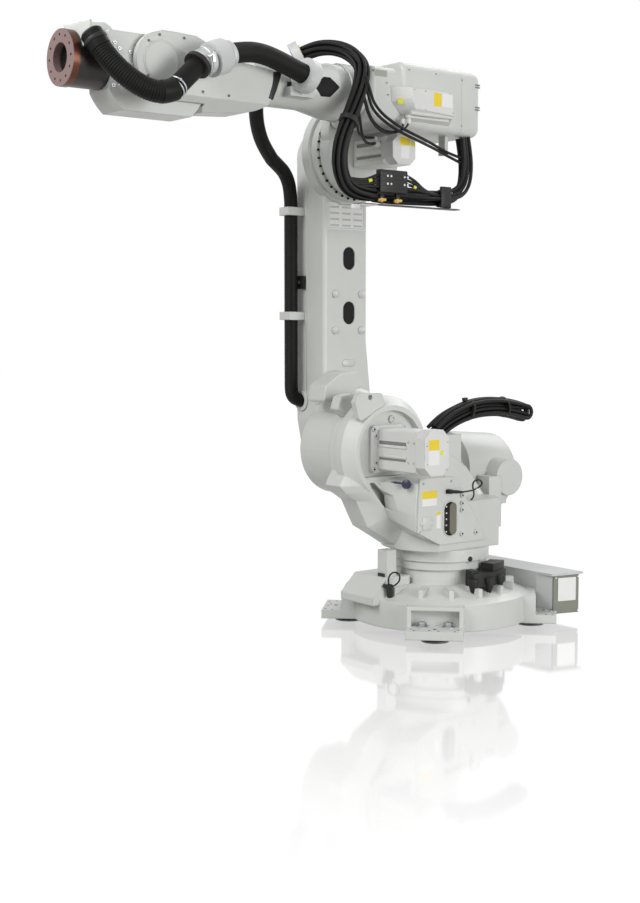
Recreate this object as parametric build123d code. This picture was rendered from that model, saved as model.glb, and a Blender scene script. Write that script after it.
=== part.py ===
from build123d import *
import math
import os

# Industrial six-axis robot arm. Millimetres, +Z up. The origin is on the floor under
# axis 1. At rest the arm reaches forward along +X and the robot's left side is +Y.

# Joint layout
AXIS2_X = 320.0
AXIS2_Z = 780.0
LOWER_ARM_LENGTH = 1280.0
AXIS4_RISE = 200.0
AXIS5_REACH = 1167.0
AXIS3_Z = AXIS2_Z + LOWER_ARM_LENGTH
AXIS4_Z = AXIS3_Z + AXIS4_RISE
AXIS5_X = AXIS2_X + AXIS5_REACH

# Clearances
BEARING_GAP = 0.5
SEAT_GAP = 0.3
MOVING_GAP = 8.0

# Base and floor bolts
FOOT_RADIUS = 413.0
FOOT_BOLT_HALF_PITCH = 55.0
FOOT_BOLT_R = 13.5
FOOT_OUTER_R = 514.0
FOOT_WIDTH = 240.0
FOOT_TOP_Z = 62.0
PAD_Z = 25.0
PAD_DEPTH = 90.0
PAD_WIDTH = 210.0
HOOD_OUTER_R = 425.0
NICHE_WIDTH = 200.0
NICHE_BACK_R = 384.0
NICHE_TOP_Z = 130.0
BASE_UNDER_Z = 33.0
BAND_R = 390.0
BAND_TOP_Z = 147.0
COLLAR_R = 200.0
COLLAR_TOP_Z = 263.0
SLOPE_TOP_R = 225.0
SLOPE_TOP_Z = 200.0
RIB_COUNT = 16
RIB_THICK = 22.0
RIB_OUTER_R = 335.0

# Front block with the stop post
STOP_BLOCK_Y = (-170.0, 45.0)
STOP_BLOCK_X = (215.0, 425.0)
STOP_BLOCK_TOP_Z = 238.0
STOP_POST_X = 300.0
STOP_POST_Y = -8.0
STOP_POST_SIDE = 57.0
STOP_POST_TOP_Z = 352.0

# Rear connector box
BOX_REAR_X = -504.0
BOX_SIDE_X = -371.0
BOX_NECK_X = -350.0
BOX_HALF_WIDTH = 372.0
BOX_SIDE_Y = 335.0
BOX_NECK_Y = 261.0
BOX_Z = (38.0, 212.0)
COVER_THICK = 10.0
COVER_LIP = 14.0
END_PLATE_THICK = 8.0

# Movable axis 1 stops
STOP_INNER_R = 228.0
STOP_OUTER_R = 300.0
STOP_START_DEG = 77.0
STOP_END_DEG = 124.0

# Turntable and frame
RING_LOW_R = 211.0
RING_R = 219.0
RING_STEP_Z = 300.0
RING_TOP_Z = 352.0
DRUM_R = 240.0
DRUM_BACK_Y = -50.0
DRUM_SHOULDER_Y = -5.0
DRUM_FACE_Y = 45.0
DRUM_FACE_R = 199.0
NECK_BACK_Y = -104.0
GEAR2_RING_R = 224.0
FRAME_FAR_Y = -150.0
RECESS_R = 177.0
RECESS_FLOOR_Y = 15.0
POCKET_FLOOR_Y = 5.0
FRAME_SIDE_Y = 192.0
FRAME_REAR_X = -230.0
PLATE_THICK = 8.0
LUG_HOLE_FORWARD = 122.0
LUG_HOLE_RISE = 237.0
LUG_HOLE_R = 11.0
LUG_THICK = 26.0

# Axis 2 drive
MOTOR2_X = (256.0, 384.0)
MOTOR2_Z = (706.0, 884.0)
MOTOR2_PLATE_X = (226.0, 424.0)
MOTOR2_PLATE_Z = (694.0, 896.0)
MOTOR2_PLATE_THICK = 14.0
MOTOR2_END_Y = 268.0
CAP2_END_Y = 326.0

# Balancer
BALANCER_Y = -240.0
BALANCER_Z = 620.0
BALANCER_REAR_X = -525.0
BALANCER_FRONT_X = -235.0
BALANCER_R = 187.0
BALANCER_TILT_DEG = 4.7

# Lower arm
ARM_FRONT_X = 440.0
ARM_REAR_X = 195.0
ARM_NEAR_Y = -271.0
ARM_FAR_Y = -474.0
ARM_RIM = 16.0
HUB2_R = 205.0
FLARE = 70.0
OVAL_WIDTH = 66.0
OVAL_HEIGHT = 100.0
OVAL_X = 300.0
OVAL_SHARE = (0.463, 0.649)
OVAL_DEPTH = 70.0
BOSS_X = (232.0, 380.0)
BOSS_SHARE = (0.404, 0.527)
BOSS_R = 17.0
BOSS_HEIGHT = 10.0
GEAR3_PLATE_R = 218.0
GEAR3_PLATE_THICK = 16.0

# Axis 3 drive and upper arm, with heights from axis 4 or axis 3
GEAR3_R = 202.0
GEAR3_FACE_Y = -215.0
HUB3_NEAR_Y = -140.0
NOSE_R = 118.0
NOSE_FRONT_X = AXIS2_X + 280.0
BLOCK_FRONT_X = AXIS2_X + 200.0
BLOCK_HALF_WIDTH = 138.0
BLOCK_BOTTOM_Z = AXIS4_Z - 124.0
BLOCK_TOP_Z = AXIS4_Z + 107.0
REAR_BOX_X = (AXIS2_X - 407.0, AXIS2_X + 41.0)
REAR_BOX_HALF_WIDTH = 150.0
REAR_BOX_BOTTOM_Z = AXIS4_Z - 140.0
REAR_BOX_TOP_Z = AXIS4_Z + 136.0
REAR_COVER_DEPTH = 118.0
MOTOR3_X = (AXIS2_X - 58.0, AXIS2_X + 62.0)
MOTOR3_Z = (AXIS3_Z - 74.0, AXIS3_Z + 38.0)
MOTOR3_END_Y = 62.0
CAP3_END_Y = 115.0
COVER4_Y = 212.0
TRAY_Z = AXIS4_Z - 460.0
TRAY_THICK = 6.0
TRAY_Y = (118.0, 226.0)

# Forearm and wrist, with heights from axis 4
TUBE_R = 86.0
TUBE_COLLAR_R = 112.0
TUBE_COLLAR_X = NOSE_FRONT_X + 55.0
TUBE_TAPER_X = NOSE_FRONT_X + 190.0
SHELL_REAR_X = AXIS5_X - 502.0
SHELL_HALF_WIDTH = 104.0
SHELL_BOTTOM = -162.0
SHELL_TOP = 124.0
FORK_HALF_GAP = 80.0
CHEEK_R = 106.0
CHEEK_RISE = 12.0
COVER5_R = 72.0
WRIST_R = 224.0
WRIST_BOTTOM = -171.0
WRIST_TOP = 106.0
WRIST_GAP = 8.0
WRIST_HALF_WIDTH = 73.0
FLANGE_TO_AXIS5 = 200.0
WRIST_FACE_X = AXIS5_X + FLANGE_TO_AXIS5
DISC_R = 98.0
DISC_FRONT_X = WRIST_FACE_X + 128.0
DISC_RECESS_DEPTH = 60.0
FLANGE_R = 100.0
FLANGE_FACE_X = DISC_FRONT_X + 28.0
FLANGE_BORE_R = 52.0
FLANGE_PCD = 160.0
FLANGE_BOLT_COUNT = 12
FLANGE_BOLT_R = 5.1


def from_axis(axis_x, points):
    # Points given forward of an upright axis line and above axis 4
    return [(axis_x + x, y, AXIS4_Z + z) for x, y, z in points]


# Hoses and cables: radii, then routes as chosen points
WRIST_HOSE_R = 36.0
REDUCER_R = 37.0
FOREARM_HOSE_R = 38.0
ARM_HOSE_R = 30.0
LOOP_R = 34.0
HANK_R = 46.0
WRIST_HOSE_ROUTE = from_axis(AXIS5_X, [(298, 122, 72), (277, 143, 26), (249, 166, -22), (209, 192, -68),
                                       (158, 213, -104), (105, 226, -123), (55, 231, -118), (25, 228, -105)])
REDUCER_ROUTE = from_axis(AXIS5_X, [(25, 228, -105), (-97, 205, 2)])
SWIVEL_ROUTE = from_axis(AXIS5_X, [(-97, 205, 2), (-247, 184, 56)])
FOREARM_HOSE_ROUTE = from_axis(AXIS5_X, [(-247, 184, 56), (-330, 174, 76), (-410, 168, 76), (-488, 162, 60),
                                         (-566, 156, 38), (-637, 150, 20)])
TOP_BUNDLE_ROUTE = from_axis(AXIS2_X, [(415, -60, 142), (380, -20, 166), (330, 25, 174), (286, 75, 160),
                                       (262, 122, 124), (258, 152, 80)])
FRONT_BUNDLE_ROUTE = from_axis(AXIS2_X, [(258, 152, 80), (284, 174, 12), (330, 192, -70), (372, 201, -142),
                                         (406, 206, -210), (422, 207, -275), (416, 204, -338),
                                         (384, 200, -394), (320, 196, -417), (240, 190, -418)])
REAR_LOOP_ROUTE = from_axis(AXIS2_X, [(150, 160, -418), (60, 165, -418), (-30, 165, -416), (-120, 156, -414),
                                      (-210, 148, -408), (-280, 140, -388), (-328, 128, -342),
                                      (-346, 120, -275), (-344, 116, -205), (-334, 112, -142)])
ARM_HOSE_X = 490.0
ARM_HOSE_Y = -443.0
ARM_HOSE_TOP_Z = AXIS3_Z - 210.0
ARM_HOSE_ROUTE = [(ARM_HOSE_X, ARM_HOSE_Y, AXIS2_Z + 280), (ARM_HOSE_X, ARM_HOSE_Y, ARM_HOSE_TOP_Z)]
AXIS3_HOSE_ROUTE = from_axis(AXIS2_X, [(170, -443, -410), (176, -439, -360), (198, -426, -312),
                                       (236, -406, -278), (286, -379, -258), (340, -350, -238)])
AXIS4_HOSE_ROUTE = from_axis(AXIS2_X, [(340, -350, -238), (408, -310, -198), (470, -262, -152),
                                       (518, -215, -100), (546, -178, -40), (552, -160, 25)])


def block(x0, x1, y0, y1, z0, z1):
    centre = Pos((x0 + x1) / 2, (y0 + y1) / 2, (z0 + z1) / 2)
    return centre * Box(x1 - x0, y1 - y0, z1 - z0)


def rod_x(x0, x1, y, z, radius):
    return Pos((x0 + x1) / 2, y, z) * Rot(0, 90, 0) * Cylinder(radius, x1 - x0)


def rod_y(y0, y1, x, z, radius):
    return Pos(x, (y0 + y1) / 2, z) * Rot(90, 0, 0) * Cylinder(radius, y1 - y0)


def rod_z(z0, z1, x, y, radius):
    return Pos(x, y, (z0 + z1) / 2) * Cylinder(radius, z1 - z0)


def prism_y(points, y0, y1):
    outline = make_face(Polyline([(x, y0, z) for x, z in points], close=True))
    return extrude(outline, amount=y1 - y0, dir=(0, 1, 0))


def prism_x(points, x0, x1):
    outline = make_face(Polyline([(x0, y, z) for y, z in points], close=True))
    return extrude(outline, amount=x1 - x0, dir=(1, 0, 0))


def prism_z(points, z0, z1):
    outline = make_face(Polyline([(x, y, z0) for x, y in points], close=True))
    return extrude(outline, amount=z1 - z0, dir=(0, 0, 1))


def corner_radii(points):
    # The radius of each bend: 0.45 of the shorter run, over the tangent of half the turn
    radii = []
    for before, here, after in zip(points, points[1:], points[2:]):
        run_in = Vector(*here) - Vector(*before)
        run_out = Vector(*after) - Vector(*here)
        half_turn = math.radians(run_in.get_angle(run_out)) / 2
        radii.append(0.45 * min(run_in.length, run_out.length) / math.tan(half_turn))
    return radii


def fitted_radii(points, radius):
    # A closed outline's corner radii, each limited by the runs beside it
    radii = []
    count = len(points)
    for i in range(count):
        before = Vector(*points[i - 1])
        here = Vector(*points[i])
        after = Vector(*points[(i + 1) % count])
        run_in = here - before
        run_out = after - here
        half_turn = math.radians(run_in.get_angle(run_out)) / 2
        largest = 0.48 * min(run_in.length, run_out.length) / math.tan(half_turn)
        radii.append(min(radius, largest))
    return radii


def soft_outline(points, radius):
    radii = fitted_radii(points, radius)
    return make_face(FilletPolyline(*points, radius=radii, close=True))


def soft_prism_y(points, y0, y1, radius, rim=0.0):
    outline = soft_outline([(x, y0, z) for x, z in points], radius)
    body = extrude(outline, amount=y1 - y0, dir=(0, 1, 0))
    if rim > 0:
        ends = body.faces().filter_by(Axis.Y).sort_by(Axis.Y)
        body = fillet(ends[0].edges() + ends[-1].edges(), rim)
    return body


def hose(points, radius):
    path = FilletPolyline(*points, radius=corner_radii(points))
    start = Plane(origin=path @ 0, z_dir=path % 0)
    swept = sweep(start * Circle(radius), path=path)
    share = swept.volume / (math.pi * radius ** 2 * path.length)
    bends = [round(r) for r in corner_radii(points)]
    print("hose r", radius, "length", round(path.length), "bend radii", bends, "volume share", round(share, 3))
    return swept


def ring_between(point_a, point_b, outer_r, inner_r):
    a = Vector(*point_a)
    b = Vector(*point_b)
    place = Plane(origin=a, z_dir=(b - a))
    ring = extrude(place * Circle(outer_r), amount=(b - a).length)
    bore = extrude(place * Circle(inner_r), amount=(b - a).length)
    return ring - bore


def base_casting():
    body = rod_z(BASE_UNDER_Z, BAND_TOP_Z, 0, 0, BAND_R)
    slope_height = SLOPE_TOP_Z - BAND_TOP_Z
    slope = Pos(0, 0, (BAND_TOP_Z + SLOPE_TOP_Z) / 2) * Cone(BAND_R, SLOPE_TOP_R, slope_height)
    body += slope
    body += rod_z(BASE_UNDER_Z, COLLAR_TOP_Z, 0, 0, COLLAR_R)
    for i in range(RIB_COUNT):
        rib = block(COLLAR_R - 10, RIB_OUTER_R, -RIB_THICK / 2, RIB_THICK / 2,
                    BAND_TOP_Z - 20, SLOPE_TOP_Z)
        body += Rot(0, 0, 360 / RIB_COUNT * (i + 0.5)) * rib
    for i in range(4):
        turn = Rot(0, 0, 45 + 90 * i)
        foot = block(0, FOOT_OUTER_R, -FOOT_WIDTH / 2, FOOT_WIDTH / 2, PAD_Z, FOOT_TOP_Z)
        hood = block(0, HOOD_OUTER_R, -FOOT_WIDTH / 2, FOOT_WIDTH / 2, PAD_Z, BAND_TOP_Z)
        body += turn * (foot + hood)
    for i in range(4):
        turn = Rot(0, 0, 45 + 90 * i)
        niche = block(NICHE_BACK_R, FOOT_OUTER_R + 10, -NICHE_WIDTH / 2, NICHE_WIDTH / 2,
                      FOOT_TOP_Z, NICHE_TOP_Z)
        body -= turn * niche
        for side in (-1, 1):
            hole = rod_z(0, FOOT_TOP_Z + 10, FOOT_RADIUS, side * FOOT_BOLT_HALF_PITCH, FOOT_BOLT_R)
            body -= turn * hole
    front = prism_y([(STOP_BLOCK_X[0], BAND_TOP_Z - 20), (STOP_BLOCK_X[1], BAND_TOP_Z - 20),
                     (STOP_BLOCK_X[1], BAND_TOP_Z + 12), (345, STOP_BLOCK_TOP_Z),
                     (STOP_BLOCK_X[0], STOP_BLOCK_TOP_Z)], STOP_BLOCK_Y[0], STOP_BLOCK_Y[1])
    body += front
    body -= block(BOX_REAR_X, BOX_NECK_X + SEAT_GAP, -BOX_HALF_WIDTH, BOX_HALF_WIDTH, 0, COLLAR_TOP_Z)
    return body


def levelling_pads():
    pads = []
    for i in range(4):
        pad = block(FOOT_RADIUS - PAD_DEPTH / 2, FOOT_RADIUS + PAD_DEPTH / 2,
                    -PAD_WIDTH / 2, PAD_WIDTH / 2, 0, PAD_Z)
        for side in (-1, 1):
            pad -= rod_z(-1, PAD_Z + 1, FOOT_RADIUS, side * FOOT_BOLT_HALF_PITCH, FOOT_BOLT_R)
        pads.append((Rot(0, 0, 45 + 90 * i) * pad).solid())
    return Compound(children=pads)


def box_outline(lip=0.0):
    return [(BOX_REAR_X - lip, -BOX_HALF_WIDTH - lip), (BOX_SIDE_X + lip, -BOX_SIDE_Y - lip),
            (BOX_NECK_X, -BOX_NECK_Y - lip), (BOX_NECK_X, BOX_NECK_Y + lip),
            (BOX_SIDE_X + lip, BOX_SIDE_Y + lip), (BOX_REAR_X - lip, BOX_HALF_WIDTH + lip)]


def connector_box():
    return prism_z(box_outline(), BOX_Z[0], BOX_Z[1])


def connector_box_cover():
    return prism_z(box_outline(COVER_LIP), BOX_Z[1], BOX_Z[1] + COVER_THICK)


def connector_end_plate(side):
    # Turned with the slanted end wall, seated on it
    rear = Vector(BOX_REAR_X, side * BOX_HALF_WIDTH, 0)
    front = Vector(BOX_SIDE_X, side * BOX_SIDE_Y, 0)
    along = (front - rear).normalized()
    out = Vector(-along.Y, along.X, 0) * side
    a = rear + along * 4
    b = front - along * 4
    c = b + out * END_PLATE_THICK
    d = a + out * END_PLATE_THICK
    return prism_z([(p.X, p.Y) for p in (a, b, c, d)], BOX_Z[0] + 2, BOX_Z[1] - 2)


def sector(inner_r, outer_r, start_deg, end_deg, z0, z1):
    reach = outer_r * 1.6
    wedge = prism_z([(0, 0),
                     (reach * math.cos(math.radians(start_deg)), reach * math.sin(math.radians(start_deg))),
                     (reach * math.cos(math.radians(end_deg)), reach * math.sin(math.radians(end_deg)))],
                    z0, z1)
    ring = rod_z(z0, z1, 0, 0, outer_r) - rod_z(z0, z1, 0, 0, inner_r)
    return ring & wedge


def axis1_stops():
    stops = sector(STOP_INNER_R, STOP_OUTER_R, STOP_START_DEG, STOP_END_DEG, SLOPE_TOP_Z, 258)
    stops += sector(STOP_INNER_R, STOP_OUTER_R - 8, 100, STOP_END_DEG, 258, 292)
    stops += sector(STOP_INNER_R, STOP_OUTER_R - 20, STOP_START_DEG, 84, 258, 270)
    return stops


def stop_post():
    half = STOP_POST_SIDE / 2
    return block(STOP_POST_X - half, STOP_POST_X + half, STOP_POST_Y - half, STOP_POST_Y + half,
                 STOP_BLOCK_TOP_Z, STOP_POST_TOP_Z)


def turntable_ring():
    ring = rod_z(COLLAR_TOP_Z + BEARING_GAP, RING_STEP_Z, 0, 0, RING_LOW_R)
    return ring + rod_z(RING_STEP_Z, RING_TOP_Z, 0, 0, RING_R)


def flat_face_y(points, y):
    return make_face(Polyline([(x, y, z) for x, z in points], close=True))


def drum_shoulder():
    # The cone from the drum's full radius in to its near face
    cone = Cone(DRUM_R, DRUM_FACE_R, DRUM_FACE_Y - DRUM_SHOULDER_Y)
    return Pos(AXIS2_X, (DRUM_SHOULDER_Y + DRUM_FACE_Y) / 2, AXIS2_Z) * Rot(-90, 0, 0) * cone


def frame_casting():
    gear_ring = rod_y(NECK_BACK_Y, DRUM_BACK_Y, AXIS2_X, AXIS2_Z, GEAR2_RING_R)
    drum = rod_y(DRUM_BACK_Y, DRUM_SHOULDER_Y, AXIS2_X, AXIS2_Z, DRUM_R)
    flank = [(200, RING_TOP_Z), (262, 370), (312, 400), (366, 431), (414, 458), (446, 515),
             (478, 576), (536, 613), (567, 644), (535, 700), (430, 860), (220, 950), (90, 820),
             (-120, 690), (FRAME_REAR_X, 560), (FRAME_REAR_X, RING_TOP_Z + 40), (-160, RING_TOP_Z)]
    ridge = [(200, RING_TOP_Z), (236, 400), (262, 450), (296, 480), (328, 505), (362, 538),
             (396, 572), (428, 612), (452, 645), (482, 690), (430, 840), (220, 930), (90, 820),
             (-120, 690), (FRAME_REAR_X, 560), (FRAME_REAR_X, RING_TOP_Z + 40), (-160, RING_TOP_Z)]
    neck = prism_y(flank, NECK_BACK_Y, DRUM_SHOULDER_Y)
    front = loft([flat_face_y(flank, DRUM_SHOULDER_Y), flat_face_y(ridge, DRUM_FACE_Y)], ruled=True)
    wall_root = [(262, 440), (330, 496), (372, 560), (392, 655), (300, 672), (100, 690),
                 (-100, 600), (FRAME_REAR_X + 40, 540), (FRAME_REAR_X + 40, RING_TOP_Z + 20), (150, RING_TOP_Z + 20)]
    wall_face = [(296, 434), (318, 452), (318, 520), (312, 655), (260, 664), (100, 664),
                 (-62, 432), (-74, 420), (-84, 388), (172, 384)]
    wall = loft([flat_face_y(wall_root, DRUM_FACE_Y - 10), flat_face_y(wall_face, FRAME_SIDE_Y)], ruled=True)
    lower = block(FRAME_REAR_X, 262, FRAME_FAR_Y, FRAME_SIDE_Y, RING_TOP_Z, 560)
    lower &= rod_z(RING_TOP_Z, 640, 0, 0, 262)
    body = drum + drum_shoulder() + gear_ring + neck + front + wall + lower
    body -= rod_y(RECESS_FLOOR_Y, FRAME_SIDE_Y + 50, AXIS2_X, AXIS2_Z, RECESS_R) - block(
        0, 700, -300, 400, 0, MOTOR2_PLATE_Z[0] - 16)
    body -= soft_prism_y([(300, 655), (442, 655), (434, 632), (376, 562), (338, 526), (300, 520)],
                         POCKET_FLOOR_Y, DRUM_FACE_Y - 12, 12)
    body -= prism_y([(420, 655), (442, 655), (434, 632), (376, 562), (344, 530), (356, 600)],
                    POCKET_FLOOR_Y, FRAME_SIDE_Y)
    body -= tilted_x(BALANCER_REAR_X, BALANCER_REAR_X + 600, BALANCER_R + MOVING_GAP)
    body -= block(MOTOR2_PLATE_X[0] - 8, MOTOR2_PLATE_X[1] + 8, RECESS_FLOOR_Y, CAP2_END_Y,
                  MOTOR2_PLATE_Z[0] - 12, MOTOR2_PLATE_Z[1] + 12)
    return trimmed(body, [])


def about_axis2(points):
    # Outline points given forward of axis 2 and above it
    return [(AXIS2_X + x, AXIS2_Z + z) for x, z in points]


def lifting_lug():
    near_y = DRUM_FACE_Y
    lug = soft_prism_y(about_axis2([(40, 200), (180, 135), (206, 220), (185, 254), (58, 254)]),
                       near_y - LUG_THICK, near_y, 16)
    lug -= drum_shoulder()
    lug -= rod_y(near_y - LUG_THICK - 1, near_y + 1, AXIS2_X + LUG_HOLE_FORWARD,
                 AXIS2_Z + LUG_HOLE_RISE, LUG_HOLE_R)
    return lug


def axis2_stop_block():
    stop = soft_prism_y(about_axis2([(105, 180), (160, 145), (220, 185), (200, 240), (130, 250)]),
                        NECK_BACK_Y, DRUM_BACK_Y, 8)
    return stop - rod_y(NECK_BACK_Y - 1, DRUM_BACK_Y + 1, AXIS2_X, AXIS2_Z, GEAR2_RING_R)


def axis2_motor():
    plate = block(MOTOR2_PLATE_X[0], MOTOR2_PLATE_X[1], RECESS_FLOOR_Y,
                  RECESS_FLOOR_Y + MOTOR2_PLATE_THICK, MOTOR2_PLATE_Z[0], MOTOR2_PLATE_Z[1])
    plate = fillet(plate.edges().filter_by(Axis.Y), 20)
    case = block(MOTOR2_X[0], MOTOR2_X[1], RECESS_FLOOR_Y, MOTOR2_END_Y, MOTOR2_Z[0], MOTOR2_Z[1])
    return plate + fillet(case.edges().filter_by(Axis.Y), 10)


def octagon(x0, x1, z0, z1, cut):
    return [(x0 + cut, z0), (x1 - cut, z0), (x1, z0 + cut), (x1, z1 - cut),
            (x1 - cut, z1), (x0 + cut, z1), (x0, z1 - cut), (x0, z0 + cut)]


def axis2_motor_cap():
    return prism_y(octagon(MOTOR2_X[0] - 4, MOTOR2_X[1] + 4, MOTOR2_Z[0] - 6, MOTOR2_Z[1] + 6, 34),
                   MOTOR2_END_Y, CAP2_END_Y)


def side_cover_plate():
    return prism_y([(312, 448), (180, 384), (-86, 384), (-70, 430), (100, 675), (300, 675)],
                   FRAME_SIDE_Y, FRAME_SIDE_Y + PLATE_THICK)


def tilted_x(x_from, x_to, radius):
    rear = Vector(BALANCER_REAR_X, BALANCER_Y, BALANCER_Z)
    slope = math.radians(BALANCER_TILT_DEG)
    axis = Vector(math.cos(slope), 0, math.sin(slope))
    start = rear + axis * (x_from - BALANCER_REAR_X)
    return extrude(Plane(origin=start, z_dir=axis) * Circle(radius), amount=x_to - x_from)


def balancer_cylinder():
    return tilted_x(BALANCER_REAR_X, BALANCER_FRONT_X, BALANCER_R)


def balancer_end_cap():
    cap = tilted_x(BALANCER_REAR_X - 22, BALANCER_REAR_X, BALANCER_R - 14)
    return cap + tilted_x(BALANCER_REAR_X - 40, BALANCER_REAR_X - 22, BALANCER_R - 60)


def balancer_rod():
    gland = tilted_x(BALANCER_FRONT_X, BALANCER_FRONT_X + 60, 110)
    return gland + tilted_x(BALANCER_FRONT_X + 60, BALANCER_FRONT_X + 120, 36)


def balancer_bracket():
    arm = block(-357, FRAME_REAR_X, -45, 30, 400, 540)
    column = block(-357, -278, -45, 30, 400, 633)
    boss = rod_y(-130, 20, -420, 622, 84)
    boss -= tilted_x(BALANCER_REAR_X - 50, BALANCER_FRONT_X, BALANCER_R + SEAT_GAP)
    web = block(-420, -320, -45, 0, 500, 633)
    bracket = arm + column + boss + web
    return bracket


def hank_bracket():
    return prism_y([(-110, 697), (60, 803), (60, 835.3), (-110, 835.3)], -90, 20)


def cable_hank():
    path = [(-40, -40, 878), (-130, -42, 915), (-240, -40, 945), (-370, -36, 950),
            (-490, -40, 932), (-600, -46, 912)]
    return hose(path, 46)


def lower_arm_outline():
    return [(ARM_FRONT_X, AXIS2_Z + 120), (ARM_FRONT_X, AXIS3_Z + 25), (405, AXIS3_Z + 82),
            (350, AXIS3_Z + 138), (285, AXIS3_Z + 178), (215, AXIS3_Z + 150),
            (ARM_REAR_X, AXIS3_Z + 60), (ARM_REAR_X, AXIS2_Z + 470), (172, AXIS2_Z + 265),
            (158, AXIS2_Z + 100), (172, AXIS2_Z - 50), (222, AXIS2_Z - 140), (290, AXIS2_Z - 165),
            (360, AXIS2_Z - 120), (412, AXIS2_Z - 20)]


def share_z(share):
    return AXIS2_Z + share * LOWER_ARM_LENGTH


def lower_arm_casting():
    arm = soft_prism_y(lower_arm_outline(), ARM_FAR_Y, ARM_NEAR_Y, 120, ARM_RIM)
    hub = rod_y(ARM_NEAR_Y - 60, NECK_BACK_Y - BEARING_GAP, AXIS2_X, AXIS2_Z, HUB2_R)
    arm += fillet(hub.edges().sort_by(Axis.Y)[-1], 12)
    flare = revolve(make_face(Line((HUB2_R - 60, 0), (HUB2_R + FLARE, 0))
                              + RadiusArc((HUB2_R + FLARE, 0), (HUB2_R, FLARE), -FLARE)
                              + Polyline((HUB2_R, FLARE), (HUB2_R - 60, FLARE), (HUB2_R - 60, 0))), Axis.Y)
    flare = Pos(AXIS2_X, ARM_NEAR_Y, AXIS2_Z) * flare
    arm += flare & soft_prism_y(lower_arm_outline(), ARM_NEAR_Y - 2, ARM_NEAR_Y + FLARE + 2, 120)
    arm += rod_y(ARM_NEAR_Y - 30, ARM_NEAR_Y + GEAR3_PLATE_THICK, AXIS2_X, AXIS3_Z, GEAR3_PLATE_R)
    for share in OVAL_SHARE:
        straight = OVAL_HEIGHT - OVAL_WIDTH
        depth = ARM_NEAR_Y - OVAL_DEPTH
        arm -= block(OVAL_X - OVAL_WIDTH / 2, OVAL_X + OVAL_WIDTH / 2, depth, ARM_NEAR_Y + 1,
                     share_z(share) - straight / 2, share_z(share) + straight / 2)
        for end in (-1, 1):
            arm -= rod_y(depth, ARM_NEAR_Y + 1, OVAL_X, share_z(share) + end * straight / 2, OVAL_WIDTH / 2)
    return arm


def arm_bosses():
    bosses = []
    for x in BOSS_X:
        for share in BOSS_SHARE:
            boss = rod_y(ARM_NEAR_Y, ARM_NEAR_Y + BOSS_HEIGHT, x, share_z(share), BOSS_R)
            bosses.append(boss.solid())
    return Compound(children=bosses)


def arm_stop_shroud():
    shroud = soft_prism_y(about_axis2([(-4, 280), (80, 230), (150, 220), (209, 205), (200, 280), (120, 330),
                                       (25, 340)]), ARM_NEAR_Y, -158, 14, 4)
    return trimmed(shroud, [lower_arm_casting()])


def hose_clamp(z):
    # The arm's bracket reaches past the hose, which passes through its eye
    clamp = block(ARM_FRONT_X, ARM_HOSE_X + ARM_HOSE_R + 7, ARM_HOSE_Y - ARM_HOSE_R - 5,
                  ARM_HOSE_Y + ARM_HOSE_R + 5, z - 18, z + 18)
    return clamp - rod_z(z - 20, z + 20, ARM_HOSE_X, ARM_HOSE_Y, ARM_HOSE_R + SEAT_GAP)


def release_box():
    middle = share_z(0.568)
    return block(ARM_FRONT_X, ARM_FRONT_X + 18, ARM_FAR_Y + 10, ARM_FAR_Y + 77, middle - 28, middle + 28)


def instruction_plate():
    plate = block(ARM_REAR_X + 20, ARM_FRONT_X - 20, ARM_NEAR_Y, ARM_NEAR_Y + 2,
                  AXIS3_Z - 325, AXIS3_Z - 210)
    return plate - rod_y(ARM_NEAR_Y, ARM_NEAR_Y + 3, AXIS2_X, AXIS3_Z, GEAR3_PLATE_R + SEAT_GAP)


def axis3_gearbox():
    return rod_y(ARM_NEAR_Y + GEAR3_PLATE_THICK, GEAR3_FACE_Y, AXIS2_X, AXIS3_Z, GEAR3_R)


def rear_box():
    # The whole rear box of the upper arm, which the housing and its cover share
    box = block(REAR_BOX_X[0], REAR_BOX_X[1], -REAR_BOX_HALF_WIDTH, REAR_BOX_HALF_WIDTH,
                REAR_BOX_BOTTOM_Z, REAR_BOX_TOP_Z)
    box = fillet(box.edges().filter_by(Axis.X), 40)
    rear = box.faces().sort_by(Axis.X)[0]
    box = fillet(rear.edges(), 32)
    front = box.faces().sort_by(Axis.X)[-1]
    return fillet(front.edges(), 14)


def arm_housing():
    body = rod_x(BLOCK_FRONT_X - 60, NOSE_FRONT_X, 0, AXIS4_Z, NOSE_R)
    hull = block(REAR_BOX_X[0] + REAR_COVER_DEPTH, BLOCK_FRONT_X, -BLOCK_HALF_WIDTH, BLOCK_HALF_WIDTH,
                 BLOCK_BOTTOM_Z, BLOCK_TOP_Z)
    hull = fillet(hull.edges().filter_by(Axis.X), 34)
    front = hull.faces().sort_by(Axis.X)[-1]
    body += fillet(front.edges(), 26)
    body += rear_box() & block(REAR_BOX_X[0] + REAR_COVER_DEPTH, REAR_BOX_X[1] + 1, -300, 300,
                               REAR_BOX_BOTTOM_Z - 10, REAR_BOX_TOP_Z + 10)
    hub = rod_y(GEAR3_FACE_Y + BEARING_GAP, HUB3_NEAR_Y, AXIS2_X, AXIS3_Z, GEAR3_R - 10)
    body += fillet(hub.edges().sort_by(Axis.Y)[0], 4)
    body += soft_prism_y([(AXIS2_X - 170, AXIS3_Z - 50), (AXIS2_X + 150, AXIS3_Z - 50),
                          (AXIS2_X + 200, AXIS3_Z + 60), (AXIS2_X + 180, AXIS4_Z - 20),
                          (AXIS2_X - 170, AXIS4_Z - 20)], GEAR3_FACE_Y + 20, HUB3_NEAR_Y, 30)
    return body - block(MOTOR3_X[0] - 6, MOTOR3_X[1] + 6, HUB3_NEAR_Y, CAP3_END_Y + 10,
                        MOTOR3_Z[0] - 8, MOTOR3_Z[1] + 8)


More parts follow.
